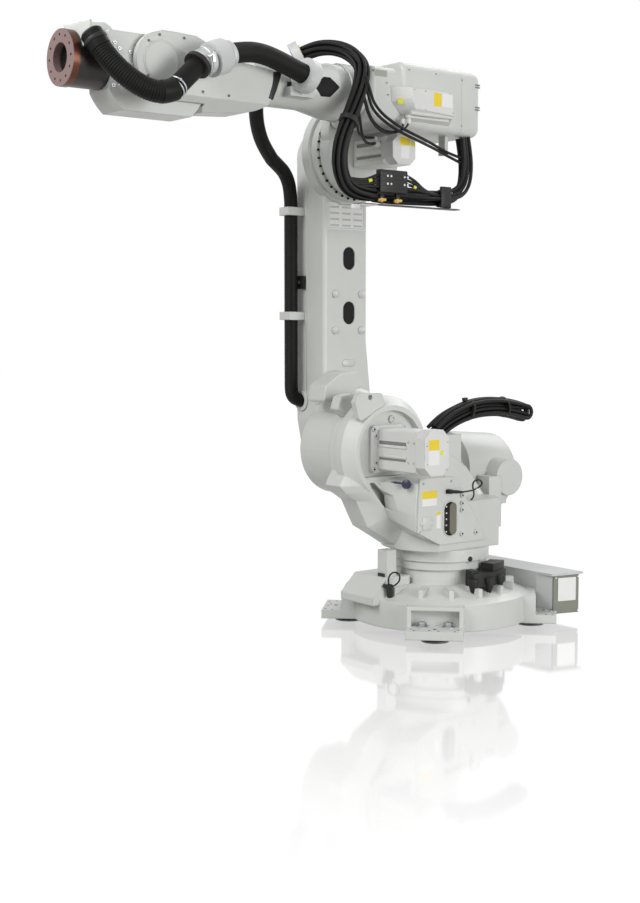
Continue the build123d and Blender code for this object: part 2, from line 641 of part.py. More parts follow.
def axis3_motor():
    return block(MOTOR3_X[0], MOTOR3_X[1], HUB3_NEAR_Y, MOTOR3_END_Y, MOTOR3_Z[0], MOTOR3_Z[1])


def axis3_motor_cap():
    return prism_y(octagon(MOTOR3_X[0] - 2, MOTOR3_X[1] + 2, MOTOR3_Z[0] - 4, MOTOR3_Z[1] + 4, 28),
                   MOTOR3_END_Y, CAP3_END_Y)


def axis4_motor_cover():
    # A box with a slanted lower side and front end, screwed to the housing's side
    root = [(100, 30), (92, -35), (12, -112), (-220, -112), (-250, -70), (-220, 30)]
    face = [(44, 19), (40, -20), (29, -62), (-189, -74), (-184, -30), (-173, 20)]
    root_face = flat_face_y([(AXIS2_X + x, AXIS4_Z + z) for x, z in root], BLOCK_HALF_WIDTH)
    outer_face = flat_face_y([(AXIS2_X + x, AXIS4_Z + z) for x, z in face], COVER4_Y)
    return trimmed(loft([root_face, outer_face], ruled=True), [arm_housing()])


def rear_cover():
    return rear_box() & block(REAR_BOX_X[0] - 1, REAR_BOX_X[0] + REAR_COVER_DEPTH, -300, 300,
                              REAR_BOX_BOTTOM_Z - 10, REAR_BOX_TOP_Z + 10)


def hanging_bracket():
    bracket = block(AXIS2_X - 260, AXIS2_X - 242, 60, 100, AXIS4_Z - 220, AXIS4_Z - 100)
    return trimmed(bracket, [arm_housing()])


def cable_tray():
    tray = block(AXIS2_X - 240, AXIS2_X + 300, TRAY_Y[0], TRAY_Y[1], TRAY_Z, TRAY_Z + TRAY_THICK)
    wall_y = MOTOR3_END_Y - 6
    tray += block(AXIS2_X - 20, AXIS2_X + 40, wall_y, TRAY_Y[0] + 4, TRAY_Z, TRAY_Z + TRAY_THICK)
    post = block(AXIS2_X - 20, AXIS2_X + 40, wall_y - 6, wall_y, TRAY_Z, MOTOR3_Z[0])
    return tray + post


def connector_block():
    z = TRAY_Z + TRAY_THICK
    block_x = (AXIS2_X + 80, AXIS2_X + 225)
    plate = block(block_x[0], block_x[1], 205, TRAY_Y[1], z, z + 134)
    return plate + block(block_x[0], block_x[1], 196, 205, z + 74, z + 134)


def forearm_tube():
    body = rod_x(NOSE_FRONT_X + BEARING_GAP, TUBE_COLLAR_X, 0, AXIS4_Z, TUBE_COLLAR_R)
    taper = Plane(origin=(TUBE_COLLAR_X, 0, AXIS4_Z), z_dir=(1, 0, 0))
    narrow = Plane(origin=(TUBE_TAPER_X, 0, AXIS4_Z), z_dir=(1, 0, 0))
    body += loft([taper * Circle(TUBE_COLLAR_R), narrow * Circle(TUBE_R)])
    body += rod_x(TUBE_TAPER_X, SHELL_REAR_X + 60, 0, AXIS4_Z, TUBE_R)
    return body


def forearm_shell():
    rear = SHELL_REAR_X - AXIS5_X
    profile = [(rear, -36), (rear, -63), (rear + 26, -103), (rear + 64, -121), (rear + 112, -133),
               (0, SHELL_BOTTOM), (0, SHELL_TOP), (-60, SHELL_TOP), (-150, SHELL_TOP - 4),
               (-330, 50), (rear, 34)]
    profile = [(AXIS5_X + x, AXIS4_Z + z) for x, z in profile]
    bottom_z = AXIS4_Z + SHELL_BOTTOM
    cheek_z = AXIS4_Z + CHEEK_RISE
    shell = prism_y(profile, -SHELL_HALF_WIDTH, SHELL_HALF_WIDTH)
    for side in (-1, 1):
        edge = [(side * 40, bottom_z + 4), (side * 40, bottom_z - 60),
                (side * 130, bottom_z - 60), (side * 130, bottom_z + 90)]
        shell -= prism_x(edge, SHELL_REAR_X - 1, AXIS5_X + 1)
        cheek_y = sorted((side * FORK_HALF_GAP, side * SHELL_HALF_WIDTH))
        shell += rod_y(cheek_y[0], cheek_y[1], AXIS5_X, cheek_z, CHEEK_R)
    reach = WRIST_R + WRIST_GAP
    shell -= rod_y(-FORK_HALF_GAP, FORK_HALF_GAP, AXIS5_X, AXIS4_Z, reach)
    for side in (-1, 1):
        chin = [(AXIS5_X - 150, AXIS4_Z + side * 100), (AXIS5_X - 178, AXIS4_Z + side * 100),
                (AXIS5_X - 191, AXIS4_Z + side * 120), (AXIS5_X - 222, AXIS4_Z + side * 175),
                (AXIS5_X - 150, AXIS4_Z + side * 175)]
        shell -= prism_y(chin, -FORK_HALF_GAP, FORK_HALF_GAP)
    shell -= rod_x(SHELL_REAR_X - 1, SHELL_REAR_X + 60 + SEAT_GAP, 0, AXIS4_Z, TUBE_R + SEAT_GAP)
    return trimmed(shell, [])


def axis5_cover(side):
    y = sorted((side * SHELL_HALF_WIDTH, side * (SHELL_HALF_WIDTH + 4)))
    return rod_y(y[0], y[1], AXIS5_X, AXIS4_Z + CHEEK_RISE, COVER5_R)


def wrist_housing():
    body = rod_y(-WRIST_HALF_WIDTH, WRIST_HALF_WIDTH, AXIS5_X, AXIS4_Z, WRIST_R)
    body &= block(AXIS5_X - WRIST_R, WRIST_FACE_X, -WRIST_HALF_WIDTH, WRIST_HALF_WIDTH,
                  AXIS4_Z + WRIST_BOTTOM, AXIS4_Z + WRIST_TOP)
    body += rod_y(-FORK_HALF_GAP + BEARING_GAP, FORK_HALF_GAP - BEARING_GAP, AXIS5_X, AXIS4_Z, 66)
    return body


def turning_disc():
    disc = rod_x(WRIST_FACE_X, DISC_FRONT_X, 0, AXIS4_Z, DISC_R)
    disc -= rod_x(DISC_FRONT_X - DISC_RECESS_DEPTH, DISC_FRONT_X + 1, 0, AXIS4_Z, FLANGE_BORE_R - 6)
    return disc


def hose_bracket():
    # A bent sheet arm on top of the disc, with the eye that holds the hose end
    x0 = WRIST_FACE_X + 20
    x1 = DISC_FRONT_X - 12
    top = AXIS4_Z + DISC_R
    foot = block(x0, x1, -44, 60, top - 30, top + 14)
    wing = block(x1 - 6, x1, 40, 148, AXIS4_Z + 30, AXIS4_Z + 112)
    arm = foot + wing
    arm -= rod_x(x0 - 1, x1 + 1, 0, AXIS4_Z, DISC_R)
    return trimmed(arm, [hose(WRIST_HOSE_ROUTE, WRIST_HOSE_R)])


def tool_flange():
    flange = rod_x(DISC_FRONT_X + BEARING_GAP, FLANGE_FACE_X, 0, AXIS4_Z, FLANGE_R)
    flange -= rod_x(DISC_FRONT_X, FLANGE_FACE_X + 1, 0, AXIS4_Z, FLANGE_BORE_R)
    for i in range(FLANGE_BOLT_COUNT):
        angle = math.radians(360 / FLANGE_BOLT_COUNT * i)
        y = FLANGE_PCD / 2 * math.sin(angle)
        z = AXIS4_Z + FLANGE_PCD / 2 * math.cos(angle)
        flange -= rod_x(DISC_FRONT_X, FLANGE_FACE_X + 1, y, z, FLANGE_BOLT_R)
    return flange


def band(route, t0, t1, outer_r, inner_r):
    # A ring round a straight two-point route, from t0 to t1 along it
    a = Vector(*route[0])
    b = Vector(*route[1])
    place_a = a + (b - a) * t0
    place_b = a + (b - a) * t1
    return ring_between((place_a.X, place_a.Y, place_a.Z), (place_b.X, place_b.Y, place_b.Z),
                        outer_r, inner_r)


def straight_tube(route, radius):
    a = Vector(*route[0])
    b = Vector(*route[1])
    return extrude(Plane(origin=a, z_dir=b - a) * Circle(radius), amount=(b - a).length)


def trimmed(shape, neighbours):
    # The piece without what its neighbours fill, keeping its largest solid
    for neighbour in neighbours:
        shape = shape - neighbour
    return shape.solids().sort_by(SortBy.VOLUME)[-1]


def swivel_joint():
    core = straight_tube(SWIVEL_ROUTE, FOREARM_HOSE_R)
    core += band(SWIVEL_ROUTE, 0.08, 0.30, FOREARM_HOSE_R + 12, FOREARM_HOSE_R - 1)
    core += band(SWIVEL_ROUTE, 0.34, 0.74, FOREARM_HOSE_R + 26, FOREARM_HOSE_R - 1)
    core += band(SWIVEL_ROUTE, 0.80, 0.96, FOREARM_HOSE_R + 12, FOREARM_HOSE_R - 1)
    return core


def hose_reducer():
    core = straight_tube(REDUCER_ROUTE, REDUCER_R)
    return trimmed(core, [swivel_joint(), hose(WRIST_HOSE_ROUTE, WRIST_HOSE_R)])


def forearm_hose():
    return trimmed(hose(FOREARM_HOSE_ROUTE, FOREARM_HOSE_R), [swivel_joint()])


def top_cable_bundle():
    return trimmed(hose(TOP_BUNDLE_ROUTE, LOOP_R), [hose(FRONT_BUNDLE_ROUTE, LOOP_R)])


def rear_cable_loop():
    return trimmed(hose(REAR_LOOP_ROUTE, LOOP_R), [rear_cover()])


def axis3_hose():
    return trimmed(hose(AXIS3_HOSE_ROUTE, ARM_HOSE_R), [arm_hose()])


def axis4_hose():
    return trimmed(hose(AXIS4_HOSE_ROUTE, ARM_HOSE_R), [axis3_hose()])


def arm_hose():
    return straight_tube(ARM_HOSE_ROUTE, ARM_HOSE_R)


def swivel_bracket():
    plate = block(AXIS5_X - 205, AXIS5_X - 145, SHELL_HALF_WIDTH, 140, AXIS4_Z - 10, AXIS4_Z + 70)
    a = Vector(*SWIVEL_ROUTE[0])
    b = Vector(*SWIVEL_ROUTE[1])
    passage = extrude(Plane(origin=a, z_dir=b - a) * Circle(FOREARM_HOSE_R + 26 + SEAT_GAP),
                      amount=(b - a).length)
    return plate - passage


def hose_ring_front():
    ends = from_axis(AXIS5_X, [(-609, 152, 26), (-648, 148, 15)])
    ring = ring_between(ends[0], ends[1], 66, FOREARM_HOSE_R + SEAT_GAP)
    foot = block(AXIS5_X - 687, AXIS5_X - 572, 70, 122, AXIS4_Z - 55, AXIS4_Z - 20)
    return trimmed(ring + foot, [forearm_tube(), forearm_hose()])


def hose_ring_rear():
    ends = from_axis(AXIS2_X, [(432, -74, 132), (408, -54, 148)])
    ring = ring_between(ends[0], ends[1], 58, LOOP_R + SEAT_GAP)
    foot = block(AXIS2_X + 402, AXIS2_X + 432, -80, -50, AXIS4_Z + 60, AXIS4_Z + 102)
    return trimmed(ring + foot, [forearm_tube(), hose(TOP_BUNDLE_ROUTE, LOOP_R)])


NODES = {
    "base_casting": base_casting(),
    "levelling_pads": levelling_pads(),
    "connector_box": connector_box(),
    "connector_box_cover": connector_box_cover(),
    "connector_end_plate_left": connector_end_plate(1),
    "connector_end_plate_right": connector_end_plate(-1),
    "axis1_stops": axis1_stops(),
    "stop_post": stop_post(),
    "turntable_ring": turntable_ring(),
    "frame_casting": frame_casting(),
    "lifting_lug": lifting_lug(),
    "axis2_stop_block": axis2_stop_block(),
    "axis2_motor": axis2_motor(),
    "axis2_motor_cap": axis2_motor_cap(),
    "side_cover_plate": side_cover_plate(),
    "balancer_cylinder": balancer_cylinder(),
    "balancer_end_cap": balancer_end_cap(),
    "balancer_rod": balancer_rod(),
    "balancer_bracket": balancer_bracket(),
    "hank_bracket": hank_bracket(),
    "cable_hank": cable_hank(),
    "lower_arm_casting": lower_arm_casting(),
    "arm_bosses": arm_bosses(),
    "arm_stop_shroud": arm_stop_shroud(),
    "hose_clamp_upper": hose_clamp(AXIS3_Z - 244),
    "hose_clamp_lower": hose_clamp(share_z(0.453)),
    "release_box": release_box(),
    "instruction_plate": instruction_plate(),
    "axis3_gearbox": axis3_gearbox(),
    "arm_hose": arm_hose(),
    "axis3_hose": axis3_hose(),
    "arm_housing": arm_housing(),
    "axis3_motor": axis3_motor(),
    "axis3_motor_cap": axis3_motor_cap(),
    "axis4_motor_cover": axis4_motor_cover(),
    "rear_cover": rear_cover(),
    "hanging_bracket": hanging_bracket(),
    "cable_tray": cable_tray(),
    "connector_block": connector_block(),
    "front_cable_bundle": hose(FRONT_BUNDLE_ROUTE, LOOP_R),
    "rear_cable_loop": rear_cable_loop(),
    "top_cable_bundle": top_cable_bundle(),
    "axis4_hose": axis4_hose(),
    "forearm_tube": forearm_tube(),
    "forearm_shell": forearm_shell(),
    "axis5_cover_left": axis5_cover(1),
    "axis5_cover_right": axis5_cover(-1),
    "swivel_joint": swivel_joint(),
    "swivel_bracket": swivel_bracket(),
    "hose_reducer": hose_reducer(),
    "forearm_hose": forearm_hose(),
    "hose_ring_front": hose_ring_front(),
    "hose_ring_rear": hose_ring_rear(),
    "wrist_hose": hose(WRIST_HOSE_ROUTE, WRIST_HOSE_R),
    "wrist_housing": wrist_housing(),
    "turning_disc": turning_disc(),
    "hose_bracket": hose_bracket(),
    "tool_flange": tool_flange(),
}

os.makedirs("parts", exist_ok=True)
for name, shape in NODES.items():
    export_step(shape, f"parts/{name}.step")
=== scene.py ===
import math

import bmesh
import bpy
from mathutils import Matrix, Vector


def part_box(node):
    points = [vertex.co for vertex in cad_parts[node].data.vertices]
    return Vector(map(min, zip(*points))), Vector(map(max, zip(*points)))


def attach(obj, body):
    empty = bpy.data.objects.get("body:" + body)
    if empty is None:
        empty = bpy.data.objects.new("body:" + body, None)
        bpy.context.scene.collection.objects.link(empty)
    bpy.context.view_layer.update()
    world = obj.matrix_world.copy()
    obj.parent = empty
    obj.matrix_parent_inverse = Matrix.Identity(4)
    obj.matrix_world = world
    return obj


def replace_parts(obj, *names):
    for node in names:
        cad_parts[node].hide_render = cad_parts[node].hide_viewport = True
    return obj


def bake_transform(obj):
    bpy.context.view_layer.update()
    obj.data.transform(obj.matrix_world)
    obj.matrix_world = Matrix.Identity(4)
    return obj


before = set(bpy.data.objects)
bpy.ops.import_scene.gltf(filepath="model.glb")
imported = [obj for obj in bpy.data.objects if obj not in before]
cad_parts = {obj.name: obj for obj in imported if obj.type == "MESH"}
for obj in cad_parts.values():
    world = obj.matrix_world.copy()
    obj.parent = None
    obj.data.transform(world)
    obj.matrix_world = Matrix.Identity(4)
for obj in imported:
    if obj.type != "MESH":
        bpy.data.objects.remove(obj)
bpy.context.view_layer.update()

# Cast base
# The base is one grey iron casting with four feet, painted white after
# machining. It stands on steel pads and is held by pairs of floor bolts.

PAINT_WHITE = (0.60, 0.615, 0.59)


def shader_node(tree, kind, values=None, **settings):
    """Adds a shader node of a kind, with its settings and then the values of its sockets."""
    node = tree.nodes.new("ShaderNode" + kind)
    for setting, value in settings.items():
        setattr(node, setting, value)
    for socket, value in (values or {}).items():
        node.inputs[socket].default_value = value
    return node


def link(tree, *ends):
    """Links shader nodes: an output and the input it feeds, one pair after another."""
    for source, target in zip(ends[::2], ends[1::2]):
        tree.links.new(source, target)


def noise_group(name, scale, detail, low, high):
    """A mask from noise in the object's own space, stretched between two values."""
    group = bpy.data.node_groups.new(name, "ShaderNodeTree")
    group.interface.new_socket("Scale", in_out="INPUT", socket_type="NodeSocketFloat").default_value = scale
    group.interface.new_socket("Mask", in_out="OUTPUT", socket_type="NodeSocketFloat")
    entry = group.nodes.new("NodeGroupInput")
    leave = group.nodes.new("NodeGroupOutput")
    place = shader_node(group, "TexCoord")
    noise = shader_node(group, "TexNoise", {"Detail": detail})
    stretch = shader_node(group, "MapRange", {"From Min": low, "From Max": high})
    link(group, place.outputs["Object"], noise.inputs["Vector"],
         entry.outputs["Scale"], noise.inputs["Scale"],
         noise.outputs["Fac"], stretch.inputs["Value"],
         stretch.outputs["Result"], leave.inputs["Mask"])
    return group


CAST_SKIN = noise_group("cast_skin", 140.0, 3.0, 0.3, 0.7)
HANDLING_MARKS = noise_group("handling_marks", 7.0, 5.0, 0.42, 0.75)


def finish(name, colour, roughness, metallic=0.0, grain=CAST_SKIN, grain_scale=140.0, bump=0.04,
           mark_colour=None, mark_scale=7.0, mark_amount=0.25, specular=0.5, soften=0.0):
    """A material whose colour and roughness vary with handling marks, over a fine bump. Its
    sharp edges catch the light as if they were rounded by soften millimetres."""
    material = bpy.data.materials.new(name)
    material.use_nodes = True
    tree = material.node_tree
    shader = tree.nodes["Principled BSDF"]
    shader.inputs["Metallic"].default_value = metallic
    shader.inputs["Specular IOR Level"].default_value = specular
    marks = shader_node(tree, "Group", {"Scale": mark_scale}, node_tree=HANDLING_MARKS)
    amount = shader_node(tree, "Math", {1: mark_amount}, operation="MULTIPLY")
    marked = mark_colour or [share * 0.86 for share in colour]
    tint = shader_node(tree, "Mix", {"A": (*colour, 1), "B": (*marked, 1)}, data_type="RGBA")
    gloss = shader_node(tree, "MapRange", {"To Min": roughness, "To Max": min(1.0, roughness + 0.12)})
    skin = shader_node(tree, "Group", {"Scale": grain_scale}, node_tree=grain)
    relief = shader_node(tree, "Bump", {"Strength": bump, "Distance": 0.001})
    link(tree, marks.outputs["Mask"], amount.inputs[0],
         amount.outputs[0], tint.inputs["Factor"],
         tint.outputs["Result"], shader.inputs["Base Color"],
         marks.outputs["Mask"], gloss.inputs["Value"],
         gloss.outputs["Result"], shader.inputs["Roughness"],
         skin.outputs["Mask"], relief.inputs["Height"],
         relief.outputs["Normal"], shader.inputs["Normal"])
    if soften > 0:
        soft_edge = shader_node(tree, "Bevel", {"Radius": soften / 1000}, samples=6)
        link(tree, soft_edge.outputs["Normal"], relief.inputs["Normal"])
    return material


paint = finish("white_paint", PAINT_WHITE, 0.36, soften=7)


def dress(node, material, edge=0.0):
    """Gives a CAD node its finish, and rounds its sharp edges by edge millimetres."""
    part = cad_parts[node]
    if not part.material_slots:
        part.data.materials.append(material)
    for place in part.material_slots:
        place.material = material
    if edge > 0:
        rounding = part.modifiers.new("rounding", "BEVEL")
        rounding.width = edge / 1000
        rounding.segments = 2
        rounding.limit_method = "ANGLE"
        rounding.angle_limit = math.radians(32)
        rounding.harden_normals = False
    return part


def dress_all(material, **edges):
    """Gives several CAD nodes one finish: each node's name with the rounding of its edges."""
    for node, edge in edges.items():
        dress(node, material, edge)


dress_all(paint, base_casting=6, stop_post=8)


def turned(bm, profile, place, axis, sides=32, turn=0.0, hollow=False):
    """Adds a turned or many-sided solid: radius and height pairs in mm, along an axis. A hollow
    one is a ring whose profile runs round its section."""
    to_axis = Vector(axis).normalized().to_track_quat("Z", "Y").to_matrix()
    rings = []
    for radius, height in profile:
        ring = []
        for i in range(sides):
            angle = turn + 2 * math.pi * i / sides
            spot = Vector((radius * math.cos(angle), radius * math.sin(angle), height))
            ring.append(bm.verts.new(Vector(place) + to_axis @ spot))
        rings.append(ring)
    for lower, upper in zip(rings, rings[1:] + rings[:1] if hollow else rings[1:]):
        for i in range(sides):
            bm.faces.new((lower[i], lower[(i + 1) % sides], upper[(i + 1) % sides], upper[i]))
    if not hollow:
        bm.faces.new(list(reversed(rings[0])))
        bm.faces.new(rings[-1])


def piece(name, bm, material, body, smooth_below=35):
    """Makes an object from a mesh in mm, with its finish, riding on its body if it has one."""
    for vert in bm.verts:
        vert.co /= 1000
    bmesh.ops.recalc_face_normals(bm, faces=bm.faces)
    mesh = bpy.data.meshes.new(name)
    bm.to_mesh(mesh)
    bm.free()
    for face in mesh.polygons:
        face.use_smooth = True
    mesh.set_sharp_from_angle(angle=math.radians(smooth_below))
    mesh.materials.append(material)
    part = bpy.data.objects.new(name, mesh)
    bpy.context.scene.collection.objects.link(part)
    if body:
        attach(part, body)
    return part


HEX_HEAD = ((20, 0), (20.8, 1), (20.8, 13), (18, 15.5))
WASHER = ((27, 0), (28, 1), (28, 3), (27, 4))
FOOT_TOP_Z = 62.0
steel = finish("bright_steel", (0.52, 0.53, 0.54), 0.3, metallic=1.0, bump=0.02)
pad_steel = finish("pad_steel", (0.16, 0.16, 0.16), 0.5, metallic=0.7, bump=0.05)
# The next finish is near black: the real colour of dark bolts and plates, and painted shade where it fills holes,
# screw sockets and openings
black_and_hole_shade = finish("black_and_hole_shade", (0.008, 0.008, 0.008), 0.6, bump=0.02, specular=0.15)
pads = bmesh.new()
PAD_OUT = 405.0
for corner in range(4):
    angle = math.radians(45 + 90 * corner)
    turned(pads, ((58, 0), (60, 2), (60, 7), (56, 9), (30, 10), (30, 26)),
           (PAD_OUT * math.cos(angle), PAD_OUT * math.sin(angle), 0), (0, 0, 1), 40)
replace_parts(piece("pad_discs", pads, pad_steel, "base"), "levelling_pads")

FLOOR_BOLTS = ((331, 253), (253, 331))
bolts = bmesh.new()
for x, y in FLOOR_BOLTS:
    for side_x in (-1, 1):
        for side_y in (-1, 1):
            turned(bolts, WASHER, (side_x * x, side_y * y, FOOT_TOP_Z), (0, 0, 1))
            turned(bolts, HEX_HEAD, (side_x * x, side_y * y, FOOT_TOP_Z + 4), (0, 0, 1), 6, 0.3)
piece("floor_bolts", bolts, steel, "base")

# Each foot also has threaded holes, for levelling and lifting screws, drawn as flat dark discs that are painted
# shade for the holes
foot_hole_shade = bmesh.new()
for corner in range(4):
    angle = math.radians(45 + 90 * corner)
    for out, side, radius in ((500, -84, 5), (500, 84, 5), (470, -98, 5), (470, 98, 5), (462, 0, 8), (488, -22, 5),
                              (496, 16, 5)):
        spot = (out * math.cos(angle) - side * math.sin(angle), out * math.sin(angle) + side * math.cos(angle),
                FOOT_TOP_Z)
        turned(foot_hole_shade, ((radius, -1), (radius, 0.3)), spot, (0, 0, 1), 14)
piece("foot_hole_shade", foot_hole_shade, black_and_hole_shade, "base")

# Connector box
# The box for the supply plugs at the back of the base is folded from grey
# sheet steel, with a lid and a dark frame plate screwed over each end.

sheet_grey = finish("grey_sheet", (0.56, 0.57, 0.57), 0.34, bump=0.01, grain_scale=60)
end_dark = finish("dark_end_plate", (0.20, 0.21, 0.17), 0.45, bump=0.03)
label_white = finish("blank_white_plate", (0.80, 0.80, 0.79), 0.4, bump=0.0)
dress_all(sheet_grey, connector_box=1, connector_box_cover=1)
dress_all(end_dark, connector_end_plate_left=1, connector_end_plate_right=1)


def plate(bm, corners, thick):
    """Adds a flat plate on any plane: its corners in mm, and its thickness off their plane."""
    low = [Vector(corner) for corner in corners]
    off = (low[1] - low[0]).cross(low[2] - low[0]).normalized() * thick
    lower = [bm.verts.new(corner) for corner in low]
    upper = [bm.verts.new(corner + off) for corner in low]
    bm.faces.new(lower)
    bm.faces.new(upper)
    for i in range(len(low)):
        j = (i + 1) % len(low)
        bm.faces.new((lower[i], lower[j], upper[j], upper[i]))


def built(name, material, body, *steps):
    """A piece made in steps: each a function that adds to a mesh, and the values it takes."""
    bm = bmesh.new()
    for add, *values in steps:
        add(bm, *values)
    return piece(name, bm, material, body)


# The left end plate carries a blank white plate and is held by four screws
END_REAR = Vector((-504, 372, 0))
END_ALONG = Vector((133, -37, 0)).normalized()
END_OUT = Vector((37, 133, 0)).normalized()


def on_end(along, z, out):
    return END_REAR + END_ALONG * along + END_OUT * out + Vector((0, 0, z))


built("end_blank_plate", label_white, "base",
      (plate, [on_end(20, 96, 10.1), on_end(20, 200, 10.1), on_end(112, 200, 10.1), on_end(112, 96, 10.1)], -0.8))
end_screws = bmesh.new()
for along in (10, 124):
    for z in (50, 202):
        turned(end_screws, ((4, 0), (4, 2), (3, 2.8)), on_end(along, z, 10), END_OUT, 16)
piece("end_plate_screws", end_screws, steel, "base")

# Axis 1 stops
# Rubber-faced steel stops sit on the ribs of the base and limit how far the
# frame turns. They are painted black and held by two screws each.

stop_black = finish("stop_black", (0.012, 0.0115, 0.011), 0.45, bump=0.08, grain_scale=90, specular=0.3)
dress("axis1_stops", stop_black, 5)

# Three fingers hang from the left stop onto the slope
fingers = bmesh.new()
for x, y in ((65, 285), (-13, 301), (-91, 284)):
    turned(fingers, ((7, 0), (9, 4), (24, 52), (24, 70)), (x, y, 168), (0, 0, 1), 16)
piece("stop_fingers", fingers, stop_black, "base")


def slab(bm, outline, axis, low, high, edge=0.0):
    """Adds a plate: an outline of pairs in mm across the axis x, y or z, from low to high."""
    def spot(pair, level):
        a, b = pair
        return {"x": (level, a, b), "y": (a, level, b), "z": (a, b, level)}[axis]

    bottom = [bm.verts.new(spot(pair, low)) for pair in outline]
    top = [bm.verts.new(spot(pair, high)) for pair in outline]
    faces = [bm.faces.new(bottom), bm.faces.new(list(reversed(top)))]
    count = len(outline)
    for i in range(count):
        faces.append(bm.faces.new((bottom[i], top[i], top[(i + 1) % count], bottom[(i + 1) % count])))
    if edge > 0:
        edges = list(dict.fromkeys(edge_line for face in faces for edge_line in face.edges))
        bmesh.ops.bevel(bm, geom=edges, offset=edge, segments=2, profile=0.5, affect="EDGES")


def rectangle(a0, a1, b0, b1):
    return [(a0, b0), (a1, b0), (a1, b1), (a0, b1)]


# A rubber pad on the far side of the stop post, and a plug on the base's slope
# with its cap on a wire loop
post_low, post_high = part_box("stop_post")
built("post_pad", stop_black, "base",
      (slab, rectangle(post_low[1] * 1000 + 8, post_high[1] * 1000 - 8, 205, 252), "x", post_high[0] * 1000,
       post_high[0] * 1000 + 8, 2))
built("base_plug", stop_black, "base",
      (turned, ((13, -40), (13, 2), (17, 3), (17, 11), (13, 14)), (350, 66, 200), (0.15, 0.05, 0.95), 16),
      (turned, ((8, -4), (8, 16), (6, 18)), (358, 58, 206), (0.75, -0.4, 0.4), 12))

# Turning frame
# The frame turns on the ring of the first axis and carries the second-axis
# drive in its round drum. It is a painted iron casting.

dress_all(paint, turntable_ring=2, frame_casting=7, lifting_lug=4, axis2_stop_block=5, side_cover_plate=1)


def oval(a, b, width, height, steps=8):
    """The outline of a slot with round ends, about its middle."""
    radius = min(width, height) / 2
    reach_a, reach_b = width / 2 - radius, height / 2 - radius
    points = []
    for quarter, (side_a, side_b) in enumerate(((1, 1), (-1, 1), (-1, -1), (1, -1))):
        for i in range(steps + 1):
            angle = math.pi / 2 * (quarter + i / steps)
            points.append((a + side_a * reach_a + radius * math.cos(angle),
                           b + side_b * reach_b + radius * math.sin(angle)))
    clean = [points[0]]
    for point in points[1:]:
        if math.dist(point, clean[-1]) > 0.01 and math.dist(point, clean[0]) > 0.01:
            clean.append(point)
    return clean


# The side plate has an oil window, a small lid, blank stickers and capped screws
PLATE_Y = 200.0
patch_yellow = finish("yellow_patch", (0.80, 0.60, 0.02), 0.45, bump=0.0)
window_amber = finish("window_amber", (0.16, 0.15, 0.11), 0.15, bump=0.0)
WINDOW_X, WINDOW_Z = 125, 494
built("oil_window_rim", paint, "frame",
      (slab, oval(WINDOW_X, WINDOW_Z, 84, 158), "y", PLATE_Y - 1, PLATE_Y + 2.5, 1))
built("oil_window_dark", black_and_hole_shade, "frame",
      (slab, oval(WINDOW_X, WINDOW_Z, 72, 146), "y", PLATE_Y + 2, PLATE_Y + 2.8))
built("oil_window_glass", window_amber, "frame",
      (slab, oval(WINDOW_X - 16, WINDOW_Z, 40, 138), "y", PLATE_Y + 2.7, PLATE_Y + 3.2))
window_dots = bmesh.new()
for z in (548, 520, 494, 468, 440):
    turned(window_dots, ((3.5, 0), (3.5, 1.4)), (149, PLATE_Y + 2.4, z), (0, 1, 0), 10)
piece("oil_window_screws", window_dots, label_white, "frame")


def patch(name, material, body, y, a0, a1, b0, b1):
    """A plain sticker on a face that looks left."""
    return built(name, material, body, (slab, rectangle(a0, a1, b0, b1), "y", y - 0.5, y + 0.35))


def screws(name, places, axis, radius, material, body):
    """Adds socket-head screws of one size, with flat dark discs on their heads as a second piece: painted shade for
    the sockets.
    """
    heads = bmesh.new()
    socket_shade = bmesh.new()
    way = Vector(axis).normalized()
    for place in places:
        turned(heads, ((radius, -1), (radius, radius * 0.55), (radius * 0.88, radius * 0.7)), place, axis, 20)
        top = Vector(place) + way * radius * 0.7
        turned(socket_shade, ((radius * 0.45, -0.5), (radius * 0.45, 0.15)), top, axis, 6)
    piece(name, heads, material, body)
    piece(name + "_sockets", socket_shade, black_and_hole_shade, body)


patch("plate_patch_yellow", patch_yellow, "frame", PLATE_Y, 201, 287, 590, 621)
patch("plate_patch_white", label_white, "frame", PLATE_Y, 202, 285, 558, 589)
patch("plate_mark_yellow", patch_yellow, "frame", PLATE_Y, 181, 202, 516, 530)
patch("plate_mark_white", label_white, "frame", PLATE_Y, 180, 203, 458, 515)
small_lid = bmesh.new()
slab(small_lid, rectangle(233, 286, 455, 512), "y", PLATE_Y - 1, PLATE_Y + 3, 1.2)
for x in (229, 290):
    turned(small_lid, ((8, -1), (8, 3), (6, 4.5)), (x, PLATE_Y, 484), (0, 1, 0), 16)
piece("small_lid", small_lid, paint, "frame")
screws("side_plate_screws", [(57, PLATE_Y, 590), (57, PLATE_Y, 556), (57, PLATE_Y, 528), (57, PLATE_Y, 424),
                             (-27, PLATE_Y, 423)], (0, 1, 0), 11, paint, "frame")
screws("side_plate_edge_screws", [(297, PLATE_Y, 452), (120, PLATE_Y, 655), (280, PLATE_Y, 655)], (0, 1, 0), 5,
       paint, "frame")
built("ring_plug", stop_black, "frame", (turned, ((12, -6), (12, 1.5), (10, 3)), (21, 218, 311), (0.1, 1, 0), 24))
built("ring_bosses", paint, "frame",
      (turned, ((17, -8), (17, 0.5), (15, 1.2)), (21, 217, 311), (0.1, 1, 0), 24),
      (plate, [(-40, 214, 296), (-40, 214, 326), (-84, 201, 326), (-84, 201, 296)], -3))

# Axis 2 motor
# The drive motor of the second axis has a ribbed light alloy body and an
# eight-sided end cap over its brake and plugs.

